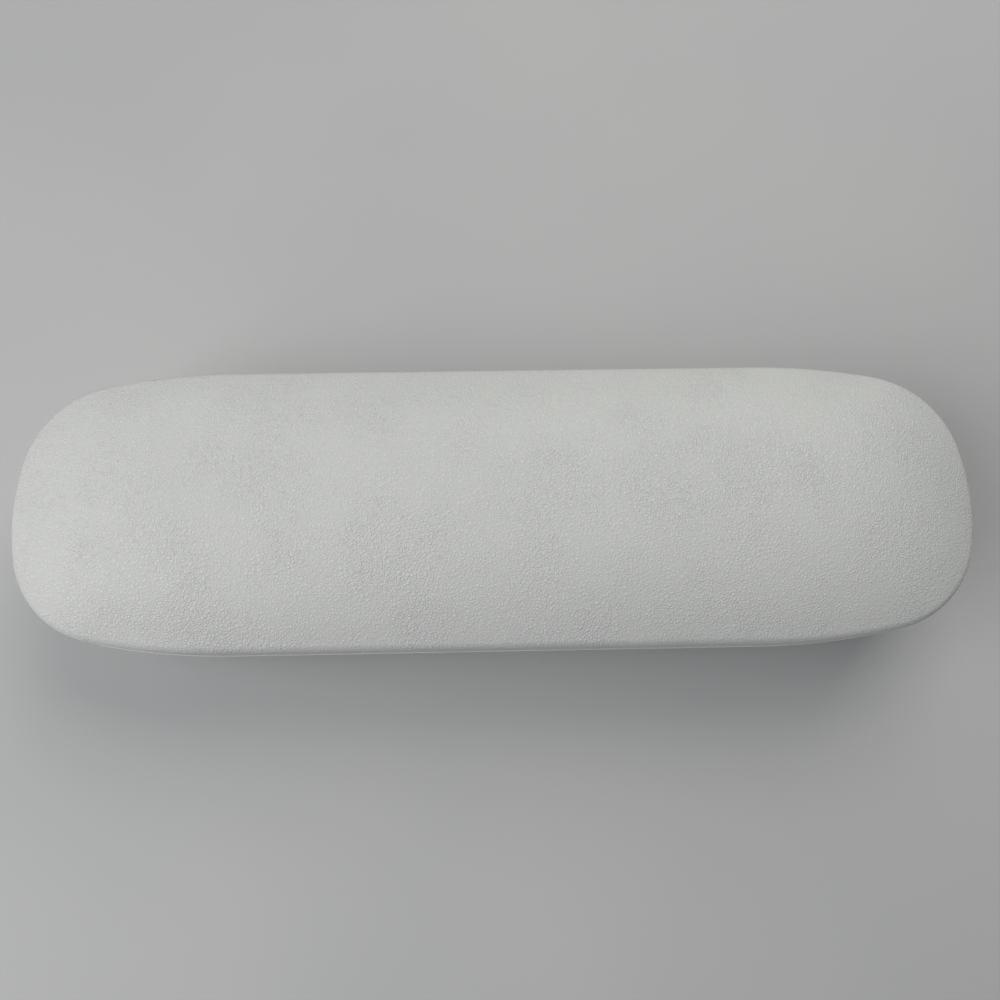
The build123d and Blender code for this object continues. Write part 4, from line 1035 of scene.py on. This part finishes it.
def make_coil_tree():
    given = start_tree(
        "coil", hub=4.65, wire=0.38, length=3.1, layers=10, turns=8, facing=(0.0, 0.0, 1.0)
    )
    root = given["points"]
    count = given["layers"] * given["turns"] * POINTS_PER_TURN
    line = root.node("GeometryNodeMeshLine", {"Count": count})
    path = line.node("GeometryNodeMeshToCurve", {"Mesh": line})
    layer = root.node("GeometryNodeInputIndex", {}) / count * given["layers"]
    angle = layer * given["turns"] * (2 * math.pi)
    to_and_fro = layer.math("PINGPONG", 1.0) - 0.5
    climb = layer.math("FLOOR") + layer.math("FRACT").between(0.94, 1.0) + 0.5
    radius = given["hub"] + given["wire"] * climb.math("MINIMUM", given["layers"] - 0.5)
    spot = root.node(
        "ShaderNodeCombineXYZ",
        {
            "X": angle.math("COSINE") * radius,
            "Y": angle.math("SINE") * radius,
            "Z": to_and_fro * (given["length"] - given["wire"]),
        },
    )
    wound = path.node("GeometryNodeSetPosition", {"Geometry": path, "Position": spot})
    thick = {"Radius": given["wire"] * 0.49, "Resolution": 6}
    section = root.node("GeometryNodeCurvePrimitiveCircle", thick)
    tube = {"Curve": wound, "Profile Curve": section, "Fill Caps": True}
    return end_tree(wound.node("GeometryNodeCurveToMesh", tube), given)


grow("charging_coil", make_coil_tree(), [(-94.3, -14.0, 19.853)], facing=(1.0, 0.0, 0.0))

# %% [markdown]
# ## Soft pads
#
# Four small pads line the pockets where the toothbrush and the heads rest, and two larger
# ones in the lid hold the handle down. Foam wrapped in cloth has no sharp edges, and it
# swells between them. Each pad starts from its solid, a little smaller, cut into an even
# net of quads. Cloth physics then inflates it. The solver expects furniture, not parts of
# a few millimetres, so the pad is simulated twenty times larger. No point may move further
# than the cap, so the pad keeps its seat and stays clear of the handle.

# %% Cloth physics
SIM_SCALE = 20.0
SIM_FRAMES = 20
PRESSURE = 4.0
SHRINK = 0.14


def read_points(mesh, what="vertices", key="co"):
    flat = np.empty(len(mesh.vertices) * 3)
    getattr(mesh, what).foreach_get(key, flat)
    return flat.reshape(-1, 3)


def inflate(piece):
    """Let cloth physics swell the piece, and keep the shape of the last frame."""
    cloth = piece.modifiers.new("cloth", "CLOTH")
    cloth.settings.use_pressure = True
    cloth.settings.uniform_pressure_force = PRESSURE
    cloth.settings.effector_weights.gravity = 0
    cloth.collision_settings.use_collision = False
    cloth.point_cache.frame_start, cloth.point_cache.frame_end = 1, SIM_FRAMES
    for number in range(1, SIM_FRAMES + 1):
        bpy.context.scene.frame_set(number)
    bake_modifiers(piece)
    bpy.context.scene.frame_set(1)


# %% Soft pads
def make_pad(name, voxel, cap):
    """Swollen cloth-covered pad in the place of its solid."""
    low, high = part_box(name)
    middle = (low + high) / 2
    mesh = nodes[name].data.copy()
    tidy_mesh(mesh, recalculate=False)
    mesh.transform(Matrix.Scale(SIM_SCALE, 4) @ Matrix.Translation(-middle))
    piece = bpy.data.objects.new(f"{name}_padding", mesh)
    bpy.context.collection.objects.link(piece)
    net = piece.modifiers.new("net", "REMESH")
    net.mode = "VOXEL"
    net.voxel_size = voxel * MM * SIM_SCALE
    ease = piece.modifiers.new("ease", "SMOOTH")
    ease.iterations = 3
    bake_modifiers(piece)
    normals = read_points(piece.data, "vertex_normals", "vector")
    start = read_points(piece.data) - normals * (SHRINK * MM * SIM_SCALE)
    piece.data.vertices.foreach_set("co", start.ravel())
    inflate(piece)
    move = read_points(piece.data) - start
    reach = np.linalg.norm(move, axis=1, keepdims=True)
    move *= np.minimum(1.0, cap * MM * SIM_SCALE / np.maximum(reach, 1e-9))
    piece.data.vertices.foreach_set("co", (start + move).ravel())
    piece.data.transform(Matrix.Translation(middle) @ Matrix.Scale(1 / SIM_SCALE, 4))
    finer = piece.modifiers.new("finer", "SUBSURF")
    finer.levels = finer.render_levels = 1
    bake_modifiers(piece)
    print(name, "swells", round(float(reach.max()) / MM / SIM_SCALE, 2), "mm before the cap")
    settle(piece, bodies_of[name], slot_of[name], name, sharp=math.pi)


for name in ("handle_pad_foot", "handle_pad_neck", "head_pad_left", "head_pad_right"):
    make_pad(name, voxel=0.3, cap=0.16)
for name in ("lid_pad_foot", "lid_pad_neck"):
    make_pad(name, voxel=0.45, cap=0.24)

# %% [markdown]
# ## Moulded and pressed pieces
#
# The tray, the liner and the hinge leaves already have their true shape as solids, but
# their faces come in as loose triangles, which shade flat. A copy of each is merged and
# then shaded smooth up to an angle, so the pockets read as curves and the edges stay crisp.
# Weighted normals follow the larger faces, so a flat deck stays flat up to its rounding.
# Every solid that is still visible, because no piece above stands for it, gets a copy.

# %% Pieces from their solids
FINE_SHARP = math.radians(22)
FLAT_ANGLE = math.radians(0.3)
RIM_SHOWS = 0.15


def draw_in_rim(mesh):
    """Press the tray's rim in until it stands only a little proud of the covers."""
    points = read_points(mesh)
    angle = np.arctan2(points[:, 1], points[:, 0])
    edge_angle, edge_reach = reach_of(-RIM_SHOWS)
    limit = np.interp(angle, edge_angle, edge_reach, period=2 * math.pi) * MM
    share = np.minimum(1.0, limit / np.hypot(points[:, 0], points[:, 1]).clip(1 * MM))
    points[:, :2] *= share[:, None]
    mesh.vertices.foreach_set("co", points.ravel())


def join_flats(mesh):
    """Join the triangles that lie in one plane, which makes each flat a large face."""
    work = bmesh.new()
    work.from_mesh(mesh)
    bmesh.ops.dissolve_limit(work, angle_limit=FLAT_ANGLE, verts=work.verts, edges=work.edges)
    work.to_mesh(mesh)
    work.free()


def smooth_copy(name):
    """Merged, smoothly shaded copy of a solid, which it stands for."""
    mesh = nodes[name].data.copy()
    tidy_mesh(mesh, recalculate=False)
    if name == "base_tray":
        draw_in_rim(mesh)
    join_flats(mesh)
    piece = bpy.data.objects.new(f"{name}_finished", mesh)
    bpy.context.collection.objects.link(piece)
    mesh.polygons.foreach_set("use_smooth", [True] * len(mesh.polygons))
    mesh.set_sharp_from_angle(angle=FINE_SHARP)
    flats = piece.modifiers.new("flats", "WEIGHTED_NORMAL")
    flats.keep_sharp = True
    flats.weight = 50
    bake_modifiers(piece)
    return settle(piece, bodies_of[name], slot_of[name], name, sharp=FINE_SHARP)


for name in sorted(nodes):
    if not nodes[name].hide_render:
        smooth_copy(name)

# %% [markdown]
# ## Floor and light
#
# The case lies on a pale surface between two low windows, one in front on the left and one
# behind. Low light brings out the grain on the slopes that face away from it. The world
# fills the shadows.

# %% Floor
FLOOR_SIZE = 3.0


def make_floor():
    material, shader, place = start_material("floor", roughness=0.7, colour=(0.45, 0.45, 0.45))
    drift = noise(place, 120.0, detail=2.0).between(0.3, 0.7)
    feed(shader, Base_Color=drift.blend(rgba(0.44, 0.44, 0.445), rgba(0.46, 0.46, 0.46)))
    mesh = bpy.data.meshes.new("floor")
    half = FLOOR_SIZE / 2
    corners = [(-half, -half, 0), (half, -half, 0), (half, half, 0), (-half, half, 0)]
    mesh.from_pydata(corners, [], [(0, 1, 2, 3)])
    floor = bpy.data.objects.new("floor", mesh)
    floor.data.materials.append(material)
    bpy.context.collection.objects.link(floor)
    return floor


make_floor()
print("floor", FLOOR_SIZE, "m wide")


# %% Lamps
def make_lamp(name, spot, size, power, colour=(1, 1, 1)):
    """Square area lamp at spot that faces the case."""
    light = bpy.data.lights.new(name, "AREA")
    light.shape = "SQUARE"
    light.size = size
    light.energy = power
    light.color = colour
    lamp = bpy.data.objects.new(name, light)
    lamp.location = spot
    way = Vector(LAMP_AIM) - Vector(spot)
    lamp.rotation_euler = way.to_track_quat("-Z", "Y").to_euler()
    bpy.context.collection.objects.link(lamp)
    return lamp


FILL_STRENGTH = 0.14
SEEN_STRENGTH = 0.62
LAMP_AIM = (0, 0, 0.03)


def make_room():
    """World that fills the shadows faintly, and looks pale to the camera and in metal."""
    world = bpy.data.worlds.new("room")
    world.use_nodes = True
    background = world.node_tree.nodes["Background"]
    background.inputs["Color"].default_value = rgba(0.91, 0.95, 1.0)
    path = world.node_tree.nodes.new("ShaderNodeLightPath")
    camera = Field(world.node_tree, path.outputs["Is Camera Ray"])
    seen = camera.math("MAXIMUM", Field(world.node_tree, path.outputs["Is Glossy Ray"]))
    feed(background, Strength=seen * (SEEN_STRENGTH - FILL_STRENGTH) + FILL_STRENGTH)
    bpy.context.scene.world = world


make_room()
make_lamp("left_window", (-0.486, -0.177, 0.464), 0.56, 3.16)
make_lamp("back_window", (0.204, 0.459, 0.587), 0.6, 3.30, (1.0, 1.0, 0.95))
